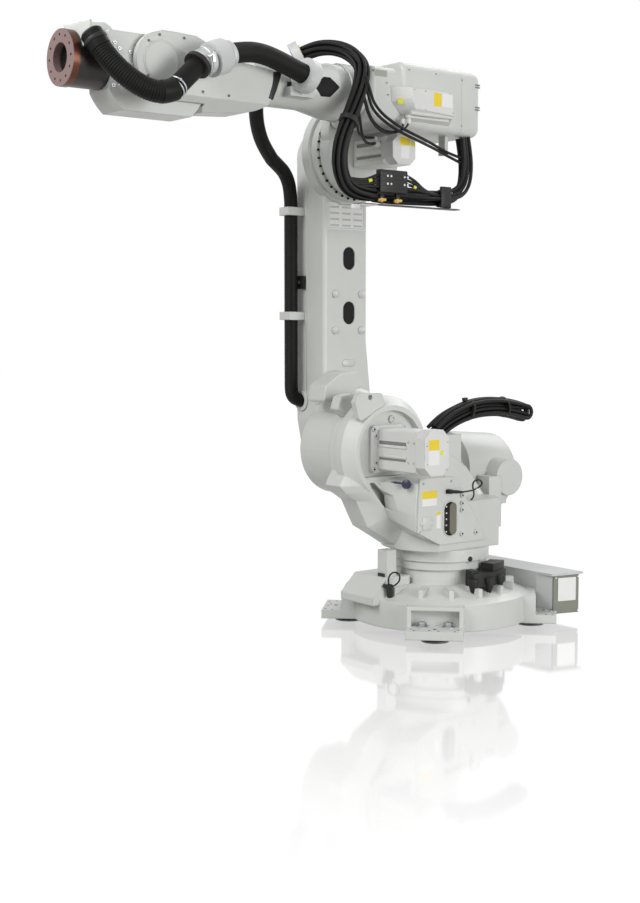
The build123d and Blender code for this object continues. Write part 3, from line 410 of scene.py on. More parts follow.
motor_paint = finish("motor_white", (0.68, 0.685, 0.67), 0.35, soften=4)
dress_all(motor_paint, axis2_motor=4, axis2_motor_cap=4)
MOTOR2_FRONT_X = 384.0
RECESS_Y = 29.0
patch_lime = finish("lime_patch", (0.72, 0.72, 0.05), 0.45, bump=0.0)
# A dark grey that is painted shade for the motors' slots, as thin strips lying flat on their faces; it also colours
# the rear cover latches and the instruction plate's lines
dark_grey_and_slot_shade = finish("dark_grey_and_slot_shade", (0.20, 0.205, 0.20), 0.5, bump=0.05)
built("axis2_motor_slot_shade", dark_grey_and_slot_shade, "frame",
      (slab, rectangle(36, 208, 818, 833), "x", MOTOR2_FRONT_X - 0.5, MOTOR2_FRONT_X + 0.3),
      (slab, rectangle(36, 206, 752, 762), "x", MOTOR2_FRONT_X - 0.5, MOTOR2_FRONT_X + 0.3))
built("axis2_motor_bars", motor_paint, "frame",
      (slab, rectangle(34, 212, 806, 817), "x", MOTOR2_FRONT_X - 1, MOTOR2_FRONT_X + 4, 1.5),
      (slab, rectangle(34, 212, 764, 774), "x", MOTOR2_FRONT_X - 1, MOTOR2_FRONT_X + 3, 1.5))
screws("axis2_motor_side_screws", [(MOTOR2_FRONT_X, y, z) for y in (222, 256) for z in (752, 835)], (1, 0, 0), 5,
       motor_paint, "frame")
screws("axis2_flange_screws", [(x, RECESS_Y, z) for x in (240, 410) for z in (710, 880)], (0, 1, 0), 11, steel,
       "frame")
screws("axis2_case_screws", [(398, RECESS_Y, 852), (398, RECESS_Y, 738)], (0, 1, 0), 8, steel, "frame")
CAP2_Y = 326.0
patch("cap2_patch_yellow", patch_yellow, "frame", CAP2_Y, 307, 366, 808, 850)
patch("cap2_patch_white", label_white, "frame", CAP2_Y, 307, 366, 746, 805)
patch("cap2_patch_lime", patch_lime, "frame", CAP2_Y, 284, 303, 786, 805)
screws("cap2_screws", [(376, CAP2_Y, 826), (262, CAP2_Y, 838), (266, CAP2_Y, 724), (374, CAP2_Y, 752)], (0, 1, 0), 4,
       motor_paint, "frame")
built("recess_boss", paint, "frame",
      (turned, ((17, -2), (17, 8), (13, 11), (9, 11), (8, 7)), (300, 15, 919), (0, 1, 0), 28))

# The release knob is dark blue plastic on a steel stem, fixed to the side wall
knob_blue = finish("knob_blue", (0.012, 0.013, 0.05), 0.35, bump=0.02)
built("release_knob", knob_blue, "frame",
      (turned, ((9, -30), (9, -8), (18, -6), (21, 0), (20, 8), (12, 12)), (343, 166, 654), (0.89, 0.45, 0), 10),
      (turned, ((4, 0), (5, 34), (2, 50)), (350, 150, 656), (0.7, -0.7, 0.12), 12))

# Balancing cylinder
# The spring cylinder behind the second axis takes part of the arm's weight.
# Its steel shell is painted and its rod end is clamped in a cast bracket.

dress_all(paint, balancer_cylinder=4, balancer_end_cap=4)
dress("balancer_rod", steel, 2)
dress_all(paint, balancer_bracket=3, hank_bracket=2)

# Spare cable hank
# Spare cables are folded and tied in a hank on a bracket behind the frame.
# They are black rubber cables of several sizes.

rubber = finish("black_rubber", (0.006, 0.006, 0.0058), 0.5, bump=0.06, grain_scale=240, mark_amount=0.4,
                mark_colour=(0.016, 0.0155, 0.0145), specular=0.22)


def smooth_curve(name, route, resolution):
    """The data of a curve that draws one smooth line from a route of points."""
    curve = bpy.data.curves.new(name, "CURVE")
    curve.dimensions = "3D"
    spline = curve.splines.new("NURBS")
    spline.points.add(len(route) - 1)
    for point, place in zip(spline.points, route):
        point.co = (*place, 1)
    spline.order_u = 3
    spline.use_endpoint_u = True
    spline.resolution_u = resolution
    return curve


def smooth_line(route):
    """The points of the smooth line that a route of points in mm draws."""
    curve = smooth_curve("line", route, 16)
    holder = bpy.data.objects.new("line", curve)
    line = bpy.data.meshes.new_from_object(holder)
    points = [vert.co.copy() for vert in line.vertices]
    bpy.data.objects.remove(holder)
    bpy.data.curves.remove(curve)
    bpy.data.meshes.remove(line)
    return points


def even_points(points, spacing):
    """The same line with its points an even distance apart."""
    length = sum((b - a).length for a, b in zip(points, points[1:]))
    count = max(2, round(length / spacing))
    step = length / count
    even = [points[0]]
    walked = 0.0
    for a, b in zip(points, points[1:]):
        run = (b - a).length
        while len(even) < count and walked + run >= step * len(even):
            even.append(a.lerp(b, (step * len(even) - walked) / run))
        walked += run
    even.append(points[-1])
    return even


def tube(bm, points, radii, sides=20):
    """Adds a tube along points, with a list of radii that repeats along it."""
    rings = []
    forward = (points[1] - points[0]).normalized()
    across = forward.orthogonal().normalized()
    for i, point in enumerate(points):
        ahead = points[min(i + 1, len(points) - 1)] - points[max(i - 1, 0)]
        ahead.normalize()
        across = (across - ahead * across.dot(ahead)).normalized()
        up = ahead.cross(across)
        radius = radii[i % len(radii)]
        ring = []
        for k in range(sides):
            angle = 2 * math.pi * k / sides
            spot = point + (across * math.cos(angle) + up * math.sin(angle)) * radius
            ring.append(bm.verts.new(spot))
        rings.append(ring)
    for lower, upper in zip(rings, rings[1:]):
        for k in range(sides):
            bm.faces.new((lower[k], lower[(k + 1) % sides], upper[(k + 1) % sides], upper[k]))
    bm.faces.new(list(reversed(rings[0])))
    bm.faces.new(rings[-1])


def cable_run(bm, route, radius, spacing=8, sides=10):
    """Adds a round cable or wire along a smooth route of points in mm."""
    tube(bm, even_points(smooth_line(route), spacing), [radius], sides)


# The hank: four cables folded back on themselves, round seven with loose ends
HANK_ROUTE = [(10, -38, 838), (-40, -40, 876), (-130, -42, 915), (-240, -40, 945), (-370, -36, 950),
              (-490, -40, 932)]


def line_length(points):
    return sum((b - a).length for a, b in zip(points, points[1:])) / 1000


def loose_cable(name, route, radius):
    """A free cable of the hank: a smooth curve through its route of points in mm."""
    curve = smooth_curve(name, [tuple(value / 1000 for value in place) for place in route], 12)
    curve.bevel_depth = radius / 1000
    curve.bevel_resolution = 3
    curve.use_fill_caps = True
    curve.materials.append(rubber)
    cable = bpy.data.objects.new(name, curve)
    bpy.context.scene.collection.objects.link(cable)
    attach(cable, "frame")
    line_length(smooth_line(route))
    return cable


def beside(points, across, rise):
    return [(x, y + across, z + rise) for x, y, z in points]


hank_cables = []
for i, (across, rise, tip) in enumerate(((-30, 28, -580), (-10, 36, -596), (11, 36, -586), (30, 28, -594))):
    outward = beside(HANK_ROUTE, across, rise)
    inward = beside(HANK_ROUTE, across, -rise)
    fold = [(tip + rise - rise * 1.06 * math.sin(math.radians(turn)), -44 + across,
             915 + rise * 1.06 * math.cos(math.radians(turn))) for turn in range(0, 181, 30)]
    hank_cables.append(loose_cable(f"hank_cable_{i + 1}", outward + fold + inward[::-1], 9))
loose_top = beside(HANK_ROUTE, 15, 6) + [(-560, -34, 934), (-600, -34, 942)]
hank_cables.append(loose_cable("hank_cable_5", loose_top, 7))
for i, (across, rise, tip) in enumerate(((-21, 4, -566), (1, 16, -586), (22, -8, -572), (2, -15, -590),
                                         (-32, -10, -556))):
    inner = beside(HANK_ROUTE, across, rise)
    inner += [(-540, -44 + across, 922 + rise), (tip, -46 + across, 914 + rise)]
    hank_cables.append(loose_cable(f"hank_cable_{i + 7}", inner, 9))
clip_piece = built("hank_connector", stop_black, "frame",
                   (slab, [(-470, 902), (-520, 886), (-524, 910), (-480, 928)], "y", -66, -46, 3))
loose_low = beside(HANK_ROUTE[:5], -16, -6) + [(-440, -54, 928), (-490, -56, 912)]
hank_cables.append(loose_cable("hank_cable_6", loose_low, 7))
for cable in hank_cables:
    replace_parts(cable, "cable_hank")
ties = bmesh.new()
for x, z, lean in ((-205, 934, 0.25), (-430, 943, -0.12)):
    turned(ties, ((48, -4), (49, -3), (49, 3), (48, 4)), (x, -39, z), (1, 0, lean), 24)
slab(ties, [(-196, 978), (-180, 976), (-178, 992), (-200, 994)], "y", -50, -30, 2)
piece("hank_ties", ties, stop_black, "frame")

# A wire from the side plate's gland loops round and back into the frame, with a
# white tag. The base's plug has a wire loop too, and two thin grey pipes run
# down to the balancing cylinder
built("wire_loops", rubber, "frame",
      (turned, ((9, 0), (10, 4), (10, 26), (8, 30), (7, 60), (3, 100)), (150, 209, 614), (-1, 0, -0.1), 16),
      (cable_run, [(60, 209, 605), (0, 203, 606), (-30, 190, 608), (-70, 185, 618), (-86, 183, 634), (-62, 181, 650),
                   (-34, 180, 644), (-24, 182, 622), (-32, 184, 598), (-37, 178, 572), (-16, 160, 545),
                   (0, 120, 530)], 3.5, 4, 8))
built("base_wire_loop", rubber, "base",
      (cable_run, [(352, 64, 208), (356, 64, 236), (350, 70, 260), (335, 81, 270), (319, 93, 262), (315, 96, 240),
                   (324, 89, 218), (340, 78, 208)], 3.5, 4, 8))
built("wire_tag", label_white, "frame",
      (plate, [(-20, 210, 614), (-43, 210, 612), (-52, 208, 588), (-34, 208, 586)], 0.8))
thin_pipes = bmesh.new()
for drop in (0, 22):
    cable_run(thin_pipes, [(-66, 6, 775 - drop), (-99, 0, 760 - drop), (-131, -4, 716 - drop * 0.6), (-170, -6, 663),
                           (-202, -8, 612), (-214, -10, 560)], 3, 6, 8)
piece("balancer_pipes", thin_pipes, sheet_grey, "frame")

# Lower arm
# The lower arm is a hollow cast box between the second and third axes, with
# oval core openings in its near side. It carries the hose clamps in front.

dress_all(paint, lower_arm_casting=7, arm_bosses=2, arm_stop_shroud=6, hose_clamp_upper=2, hose_clamp_lower=2,
          axis3_gearbox=3)
dress("release_box", stop_black, 3)
dress("instruction_plate", label_white, 0.5)
ARM_Y = -271.0
ARM_X = 440.0
AXIS2_Z = 780.0
AXIS3_X, AXIS3_Z = 320.0, 2060.0
# Near-black slabs set inside the oval core openings are painted shade for the hollow inside of the arm
oval_shade = bmesh.new()
for share in (0.463, 0.649):
    z = AXIS2_Z + share * (AXIS3_Z - AXIS2_Z)
    slab(oval_shade, oval(302, z, 63, 99), "y", ARM_Y - 8, ARM_Y - 3)
piece("oval_opening_shade", oval_shade, black_and_hole_shade, "lower_arm")
domes = bmesh.new()
for share in (0.404, 0.527):
    for x in (229, 379):
        spot = (x, ARM_Y + 9, AXIS2_Z + share * (AXIS3_Z - AXIS2_Z))
        turned(domes, ((13, -1), (13, 2), (11, 6), (7, 9), (3, 10)), spot, (0, 1, 0), 24)
piece("boss_domes", domes, paint, "lower_arm")
plate_lines = bmesh.new()
plate_low, plate_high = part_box("instruction_plate")
left, right = plate_low[0] * 1000 + 5, plate_high[0] * 1000 - 5
foot, head = plate_low[2] * 1000 + 5, plate_high[2] * 1000 - 5
PLATE_FACE_Y = plate_high[1] * 1000
for a0, a1, b0, b1 in ((left, right, foot, foot + 1.5), (left, left + 1.5, foot, head),
                       (right - 1.5, right, foot, head)):
    slab(plate_lines, rectangle(a0, a1, b0, b1), "y", PLATE_FACE_Y - 0.5, PLATE_FACE_Y + 0.3)
piece("instruction_plate_lines", plate_lines, dark_grey_and_slot_shade, "lower_arm")
panel_grey = finish("panel_grey", (0.52, 0.53, 0.53), 0.45, bump=0.0)
plate_panels = bmesh.new()
PANEL_WIDE, PANEL_HIGH = (right - left) / 3, (head - foot) / 4
for column in range(3):
    for row in range(4):
        x, z = left + column * PANEL_WIDE, foot + row * PANEL_HIGH
        slab(plate_panels, rectangle(x + 8, x + PANEL_WIDE - 8, z + 8, z + PANEL_HIGH - 10), "y",
             PLATE_FACE_Y - 0.5, PLATE_FACE_Y + 0.3)
piece("instruction_plate_panels", plate_panels, panel_grey, "lower_arm")
built("arm_cast_marks", paint, "lower_arm",
      (slab, oval(302, 1152, 74, 34), "y", ARM_Y - 1, ARM_Y + 2, 1),
      (slab, rectangle(-398, -391, 1030, 1905), "x", ARM_X - 1, ARM_X + 1.6, 0.8),
      (slab, oval(-316, 992, 46, 40), "x", ARM_X - 2, ARM_X + 2.5, 1))
built("release_button", steel, "lower_arm", (turned, ((9, 0), (9, 4), (6, 6)), (458, -430, 1507), (1, 0, 0), 20))
GEAR_BOLT_R = 198.5
GEAR_FACE_Y = -216.0
gear_bolts = bmesh.new()
for angle in (math.radians(10 * i) for i in range(36)):
    spot = (AXIS3_X + GEAR_BOLT_R * math.cos(angle), GEAR_FACE_Y, AXIS3_Z + GEAR_BOLT_R * math.sin(angle))
    turned(gear_bolts, ((5, 0), (5, 8), (4, 9)), spot, (0, 1, 0), 8)
piece("axis3_gear_bolts", gear_bolts, black_and_hole_shade, "lower_arm")

# Upper arm housing
# The upper arm's housing holds the drives of axes 3 to 6 and the forearm's
# bearing. It is a painted alloy casting with a screwed rear cover.

dress("arm_housing", paint, 3)
dress_all(motor_paint, axis3_motor=4, axis3_motor_cap=4, axis4_motor_cover=4)
dress_all(paint, rear_cover=4, hanging_bracket=1)

# The cables lie on a narrow tray below the housing and pass a connector block
tray = bmesh.new()
slab(tray, rectangle(80, 620, 160, 200), "z", 1801, 1805, 1)
slab(tray, rectangle(120, 200, 196, 226), "z", 1800, 1803, 1)
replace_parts(piece("tray_strip", tray, stop_black, "upper_arm"), "cable_tray")
block_body = bmesh.new()
slab(block_body, rectangle(400, 545, 1850, 1940), "y", 197, 226, 3)
slab(block_body, rectangle(420, 440, 1806, 1852), "y", 197, 203, 1)
slab(block_body, rectangle(505, 525, 1806, 1852), "y", 197, 203, 1)
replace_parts(piece("connector_body", block_body, stop_black, "upper_arm"), "connector_block")

# The third axis motor has a ribbed case, two cable glands and blank stickers
MOTOR3_FRONT_X = 382.0
CAP3_Y = 115.0
patch("cap3_patch_yellow", patch_yellow, "upper_arm", CAP3_Y, 292, 344, 2062, 2094)
patch("cap3_patch_white", label_white, "upper_arm", CAP3_Y, 293, 340, 2008, 2058)
patch("cap3_patch_lime", patch_lime, "upper_arm", CAP3_Y, 262, 284, 2060, 2080)
# Thin dark strips lying flat on the motor's front face are painted shade for its slots
built("axis3_motor_slot_shade", dark_grey_and_slot_shade, "upper_arm",
      (slab, rectangle(-120, 40, 2066, 2082), "x", MOTOR3_FRONT_X - 0.5, MOTOR3_FRONT_X + 0.3),
      (slab, rectangle(-120, 40, 2016, 2028), "x", MOTOR3_FRONT_X - 0.5, MOTOR3_FRONT_X + 0.3))
built("axis3_motor_bars", motor_paint, "upper_arm",
      (slab, rectangle(-125, 45, 2030, 2050), "x", MOTOR3_FRONT_X - 1, MOTOR3_FRONT_X + 5, 2),
      (slab, rectangle(-125, 45, 2084, 2094), "x", MOTOR3_FRONT_X - 1, MOTOR3_FRONT_X + 4, 1.5),
      (tube, [Vector((376, -130, 1999)), Vector((376, 60, 1999))], [14], 20))
built("axis3_motor_glands", motor_paint, "upper_arm",
      (turned, ((17, -1), (17, 8), (13, 10), (13, 20), (9, 24)), (MOTOR3_FRONT_X, 20, 2068), (1, 0.2, 0.2), 20),
      (turned, ((12, -1), (12, 8), (9, 20)), (MOTOR3_FRONT_X, 10, 2090), (1, 0.2, 0.2), 20))

# The fourth axis motor's cover has blank stickers, screws and two lower bars
COVER4_Y = 212.0
patch("cover4_patch_yellow", patch_yellow, "upper_arm", COVER4_Y, 203, 246, 2217, 2271)
patch("cover4_patch_white", label_white, "upper_arm", COVER4_Y, 140, 199, 2217, 2272)
built("cover4_patch_lime", patch_lime, "upper_arm",
      (plate, [(398, 159, 2216), (398, 159, 2238), (384, 179, 2238), (384, 179, 2216)], -1.6))
screws("cover4_screws", [(354, COVER4_Y, 2272), (293, COVER4_Y, 2273), (158, COVER4_Y, 2275), (140, COVER4_Y, 2196),
                         (293, COVER4_Y, 2198), (352, COVER4_Y, 2198)], (0, 1, 0), 4, motor_paint, "upper_arm")
built("cover4_lower_bars", motor_paint, "upper_arm",
      (tube, [Vector((130, 196, 2181)), Vector((358, 196, 2181))], [8], 20),
      (tube, [Vector((136, 180, 2168)), Vector((368, 180, 2168))], [7], 20),
      (turned, ((10, 0), (10, 14), (8, 22)), (352, 176, 2160), (0, 0, -1), 16),
      (turned, ((10, 0), (10, 14), (8, 22)), (376, 166, 2158), (0, 0, -1), 16))
HOUSING_Y = 138.0
REAR_BOX_Y = 150.0
latches = bmesh.new()
for z in (2335, 2241):
    for rise in (-5, 5):
        slab(latches, rectangle(-76, -48, z + rise - 3, z + rise + 3), "y", REAR_BOX_Y - 10, REAR_BOX_Y + 2.5, 1)
piece("rear_cover_latches", latches, dark_grey_and_slot_shade, "upper_arm")
# A thin darker plate lies flat on the housing's near side as painted shade for its recessed step
step_shade = finish("step_shade", (0.33, 0.335, 0.30), 0.5)
built("housing_step_painted_shade", step_shade, "upper_arm",
      (slab, rectangle(438, 502, 2322, 2348), "y", HOUSING_Y - 0.6, HOUSING_Y + 0.4))
screws("housing_side_screws", [(x, HOUSING_Y, z) for x, z in ((505, 2342), (440, 2300), (432, 2252), (430, 2160))]
       + [(x, REAR_BOX_Y, z) for x, z in ((330, 2362), (180, 2362), (30, 2350), (30, 2160))],
       (0, 1, 0), 5, paint, "upper_arm")

# The cables come over the top from the forearm, turn down in front of the
# housing and run back through the connector block and up into the rear box
BLOCK_Y = 226.0
block_dots = bmesh.new()
for x in (507, 488, 417, 400):
    for z in (1915, 1884):
        turned(block_dots, ((4.5, -0.5), (4.5, 1.2), (3.5, 1.8)), (x, BLOCK_Y, z), (0, 1, 0), 12)
piece("connector_dots", block_dots, label_white, "upper_arm")
block_rows = bmesh.new()
for row in range(4):
    z = 1925 - row * 18
    slab(block_rows, rectangle(400, 545, z - 7, z + 7), "y", BLOCK_Y - 3, BLOCK_Y + 0.8, 2)
piece("connector_rows", block_rows, stop_black, "upper_arm")

TOP_ROUTE = [(735, -60, 2402), (700, -20, 2426), (650, 25, 2434), (606, 75, 2420), (582, 122, 2384),
             (578, 152, 2340)]
FRONT_ROUTE = [(604, 174, 2272), (650, 192, 2190), (692, 201, 2118), (726, 206, 2050), (742, 207, 1985),
               (736, 204, 1922), (704, 200, 1866), (640, 196, 1843), (560, 190, 1842)]
REAR_ROUTE = [(560, 190, 1842), (470, 160, 1842), (380, 165, 1842), (290, 165, 1844), (200, 156, 1846),
              (110, 148, 1852), (40, 140, 1872), (-8, 128, 1918), (-26, 120, 1985), (-24, 116, 2055),
              (-14, 112, 2118)]


def strands(bm, route, places, twist=0.0, sides=10):
    """Adds a bunch of cables along a route: each has its own place across it, and a radius."""
    points = [Vector(point) for point in route]
    lines = [[] for place in places]
    across = (points[1] - points[0]).orthogonal().normalized()
    for i, point in enumerate(points):
        ahead = (points[min(i + 1, len(points) - 1)] - points[max(i - 1, 0)]).normalized()
        across = (across - ahead * across.dot(ahead)).normalized()
        up = ahead.cross(across)
        turn = twist * i
        for line, (a, b, radius) in zip(lines, places):
            side = a * math.cos(turn) - b * math.sin(turn)
            rise = a * math.sin(turn) + b * math.cos(turn)
            line.append(point + across * side + up * rise)
    for line, (a, b, radius) in zip(lines, places):
        cable_run(bm, line, radius, 9, sides)


SEVENTH_TURN = 0.8976
BUNCH = [(25 * math.cos(i * SEVENTH_TURN), 25 * math.sin(i * SEVENTH_TURN), 7 + (i % 3)) for i in range(7)]
BUNCH += [(9, 3, 8), (-7, 8, 7), (-2, -10, 8)]
arm_cables_piece = built("arm_cables", rubber, None, (strands, TOP_ROUTE + FRONT_ROUTE, BUNCH, 0.12))
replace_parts(arm_cables_piece, "top_cable_bundle", "front_cable_bundle")
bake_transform(arm_cables_piece)
rear_cables = bmesh.new()
strands(rear_cables, REAR_ROUTE, BUNCH[::2] + [(9, 3, 8), (-12, 4, 8), (14, -16, 7)], 0.1)
for height in (1925, 1907, 1889, 1871):
    away = (height - 1871) / 54
    cable_run(rear_cables, [(690, 196, 1880 + away * 18), (640, 205, 1868 + away * 24),
                            (590, 212, (height + 1872) / 2), (535, 214, height)], 6.5)
    cable_run(rear_cables, [(405, 214, height), (350, 210, height - away * 14), (290, 198, 1866 + away * 8),
                            (200, 182, 1856), (120, 160, 1858)], 6)
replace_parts(piece("rear_cables", rear_cables, rubber, "upper_arm"), "rear_cable_loop")
branch_cables = bmesh.new()
for route, radius in (([(600, 200, 2300), (580, 205, 2240), (559, 200, 2200), (513, 200, 2160), (443, 198, 2128),
                        (371, 190, 2106), (274, 170, 2088), (167, 140, 2068), (90, 112, 2052), (0, 122, 2030)], 6),
                      ([(606, 196, 2290), (588, 200, 2228), (566, 196, 2180), (520, 196, 2144), (450, 194, 2112),
                        (378, 186, 2092), (280, 166, 2074), (170, 138, 2055), (90, 112, 2040), (0, 118, 2010)], 6),
                      ([(618, 205, 2220), (597, 200, 2161), (559, 196, 2118), (512, 190, 2093), (466, 186, 2089),
                        (411, 184, 2100), (382, 178, 2122), (376, 166, 2144)], 4),
                      ([(610, 200, 2230), (586, 196, 2166), (548, 190, 2124), (500, 186, 2101), (456, 182, 2097),
                        (402, 182, 2106), (362, 180, 2126), (352, 176, 2146)], 4),
                      ([(640, 196, 2190), (622, 190, 2130), (590, 160, 2085), (540, 120, 2058), (470, 70, 2058),
                        (410, 30, 2070)], 6),
                      ([(648, 196, 2180), (628, 180, 2125), (592, 140, 2090), (530, 90, 2082), (460, 50, 2086),
                        (405, 16, 2096)], 5)):
    cable_run(branch_cables, route, radius)
piece("branch_cables", branch_cables, rubber, "upper_arm")
built("cable_straps", stop_black, "upper_arm",
      (turned, ((38, -11), (39, -10), (39, 10), (38, 11)), (690, 201, 2120), (42, 9, -72), 28),
      (turned, ((36, -9), (37, -8), (37, 8), (36, 9)), (150, 153, 1849), (1, 0, 0), 28),
      (slab, rectangle(122, 178, 1808, 1896), "y", 176, 190, 3))
brass = finish("brass", (0.62, 0.40, 0.12), 0.28, metallic=1.0, bump=0.02)
fittings = bmesh.new()
for x in (555, 470):
    turned(fittings, ((6, 0), (6, 8), (9, 9), (9, 22), (6, 23), (6, 40)), (x, 222, 1817), (-1, 0, 0.08), 6)
piece("brass_fittings", fittings, brass, "upper_arm")
built("cable_bands", patch_lime, "upper_arm",
      (turned, ((8, -8), (8, 8)), (590, 212, 1893), (-1, 0.1, 0.25), 12),
      (turned, ((7.4, -7), (7.4, 7)), (350, 210, 1880), (-1, 0, -0.2), 12))
built("tray_front_plate", paint, "upper_arm",
      (slab, rectangle(560, 702, 150, 230), "z", 1794, 1798, 1),
      (slab, rectangle(652, 700, 1774, 1798), "y", 226, 230, 1))

# Forearm
# The forearm is a cast tube that turns on axis 4, with a fork shell at its
# front that holds the wrist between two cheeks.

dress_all(paint, forearm_tube=2, forearm_shell=5, axis5_cover_left=1.5, axis5_cover_right=1.5)
SHELL_Y = 104.0
AXIS4_Z = 2260.0
window = bmesh.new()
outline = [(662, 2263), (700, 2299), (727, 2300), (776, 2262), (740, 2222), (700, 2222)]
face = window.faces.new([window.verts.new((x, 0, z)) for x, z in outline])
for z in range(2226, 2300, 6):
    geom = window.verts[:] + window.edges[:] + window.faces[:]
    bmesh.ops.bisect_plane(window, geom=geom, plane_co=(0, 0, z), plane_no=(0, 0, 1))
for vert in window.verts:
    radius = 112 - 26 * (vert.co.x - 655) / 135
    vert.co.y = math.sqrt(radius ** 2 - (vert.co.z - AXIS4_Z) ** 2) + 0.8
piece("tube_window", window, black_and_hole_shade, "forearm")
SHELL_SCREWS = ((1541, 2340), (1495, 2366), (1390, 2366), (1316, 2345), (1310, 2181), (1193, 2178), (1545, 2216))
for name, side in (("shell_screws", 1), ("shell_screws_right", -1)):
    screws(name, [(x, side * SHELL_Y, z) for x, z in SHELL_SCREWS], (0, side, 0), 5, pad_steel, "forearm")
flat_face = bmesh.new()
rim = [(1487 + 78 * math.cos(math.radians(a)), 2272 + 78 * math.sin(math.radians(a))) for a in range(-110, 121, 10)]
cheek = [(1352, 2286), (1352, 2312)] + rim[::-1]
slab(flat_face, cheek, "y", SHELL_Y - 2, SHELL_Y + 2.2, 1.5)
slab(flat_face, cheek, "y", -SHELL_Y - 2.2, -SHELL_Y + 2, 1.5)
piece("fork_flat_faces", flat_face, paint, "forearm")

# A rubber strip closes the rear edge of the shell, over a dark cable block
built("shell_strip", stop_black, "forearm",
      (slab, [(944, 2294), (980, 2291), (990, 2236), (1008, 2187), (988, 2182), (970, 2222)], "y", 90, 107, 2),
      (slab, rectangle(826, 905, 2216, 2262), "y", 70, 97, 4))

# Wrist and tool flange
# The wrist tilts between the fork's cheeks. A blackened disc closes its front,
# where the bare steel flange that tools are bolted to turns.

disc_dark = finish("blackened_disc", (0.022, 0.017, 0.014), 0.36, metallic=0.35, bump=0.04)
flange_face = finish("flange_face", (0.23, 0.155, 0.15), 0.45, metallic=0.25, bump=0.02, specular=0.3)
flange_rim = finish("flange_rim", (0.10, 0.035, 0.018), 0.32, metallic=0.7, bump=0.03)
dress("wrist_housing", paint, 16)
dress("turning_disc", disc_dark, 2)
dress("tool_flange", flange_face, 1)
dress("hose_bracket", paint, 1)
FLANGE_BACK_X = 1815.5
rim_band = bmesh.new()
turned(rim_band, ((99, 0), (100.6, 0), (100.6, 24), (99, 24)), (FLANGE_BACK_X, 0, AXIS4_Z), (1, 0, 0), 72,
       hollow=True)
piece("flange_rim_band", rim_band, flange_rim, "tool")
BORE_FLOOR_X = 1786.0
built("bore_floor", steel, "wrist",
      (turned, ((51, -2), (51, 2), (47, 3)), (BORE_FLOOR_X, 0, AXIS4_Z), (1, 0, 0), 48))
# Two dark discs on the bore floor are painted shade for the shadowed gap at the bore's edge
built("bore_gap_shade", black_and_hole_shade, "wrist",
      (turned, ((22, -1), (22, 0.4)), (BORE_FLOOR_X + 3, -24, AXIS4_Z - 26), (1, 0, 0), 32),
      (turned, ((12, -1), (12, 0.4)), (BORE_FLOOR_X + 3, 22, AXIS4_Z + 18), (1, 0, 0), 24))
WRIST_Y = 73.0
WRIST_SCREWS = ((1665, 2322), (1645, 2304), (1672, 2172), (1648, 2182), (1600, 2296), (1590, 2253))
screws("wrist_clamp_screws", [(x, WRIST_Y, z) for x, z in WRIST_SCREWS], (0, 1, 0), 7, steel, "wrist")
built("wrist_top_cover", paint, "wrist",
      (slab, [(1790, 2352), (1786, 2386), (1680, 2397), (1656, 2384), (1640, 2358)], "y", -46, 40, 6))
LEAF = [(-30, 2345), (-52, 2386), (-20, 2382), (30, 2366), (62, 2330), (72, 2290), (66, 2280), (40, 2330), (0, 2350)]
built("leaf_bracket", paint, "wrist", (slab, LEAF, "x", 1796, 1800, 1))

# Hose package
# A corrugated plastic hose leads cables and air along the arm to the tool.
# It is clamped in rings, and bends where it passes each turning axis.

WRIST_HOSE_ROUTE = [(1785, 122, 2332), (1764, 143, 2286), (1736, 166, 2238), (1696, 192, 2192), (1645, 213, 2156),
                    (1592, 226, 2137), (1542, 231, 2142), (1512, 228, 2155)]
REDUCER_ROUTE = [(1512, 228, 2155), (1390, 205, 2262)]
SWIVEL_ROUTE = [(1390, 205, 2262), (1240, 184, 2316)]
FOREARM_HOSE_ROUTE = [(1240, 184, 2316), (1157, 174, 2336), (1077, 168, 2336), (999, 162, 2320), (921, 156, 2298),
                      (850, 150, 2280)]
ELBOW_ROUTE = [(490, -443, 1064), (490, -443, 1030), (484, -440, 1006), (466, -436, 990), (438, -430, 984)]
ARM_HOSE_ROUTE = [(490, -443, 1060), (490, -443, 1455), (490, -443, 1850)]
AXIS3_HOSE_ROUTE = [(490, -443, 1850), (496, -439, 1900), (518, -426, 1948), (556, -406, 1982), (606, -379, 2002),
                    (660, -350, 2022)]
AXIS4_HOSE_ROUTE = [(660, -350, 2022), (728, -310, 2062), (790, -262, 2108), (838, -215, 2160), (866, -178, 2220),
                    (872, -160, 2285)]
hose_black = finish("hose_black", (0.007, 0.0068, 0.0065), 0.42, bump=0.05, grain_scale=300, mark_amount=0.4,
                    mark_colour=(0.013, 0.012, 0.010), specular=0.12)


THIN_HOSE = (30, 6, 1.2)


def ribbed_hose(name, route, radius, pitch, depth, body, cuff=0.0):
    """A corrugated hose along a route: its radius, the pitch and depth of its ribs, its body, and
    the length of the plain cuff at each end."""
    bm = bmesh.new()
    points = even_points(smooth_line(route), pitch / 6)
    ribs = (radius - depth, radius - depth * 0.3, radius, radius, radius, radius - depth * 0.3)
    plain = round(cuff / (pitch / 6))
    radii = []
    for i in range(len(points)):
        inside = plain <= i < len(points) - plain
        radii.append(ribs[i % 6] if inside else radius + (1.5 if plain else 0))
    tube(bm, points, radii, 28)
    return piece(name, bm, hose_black, body, 80)


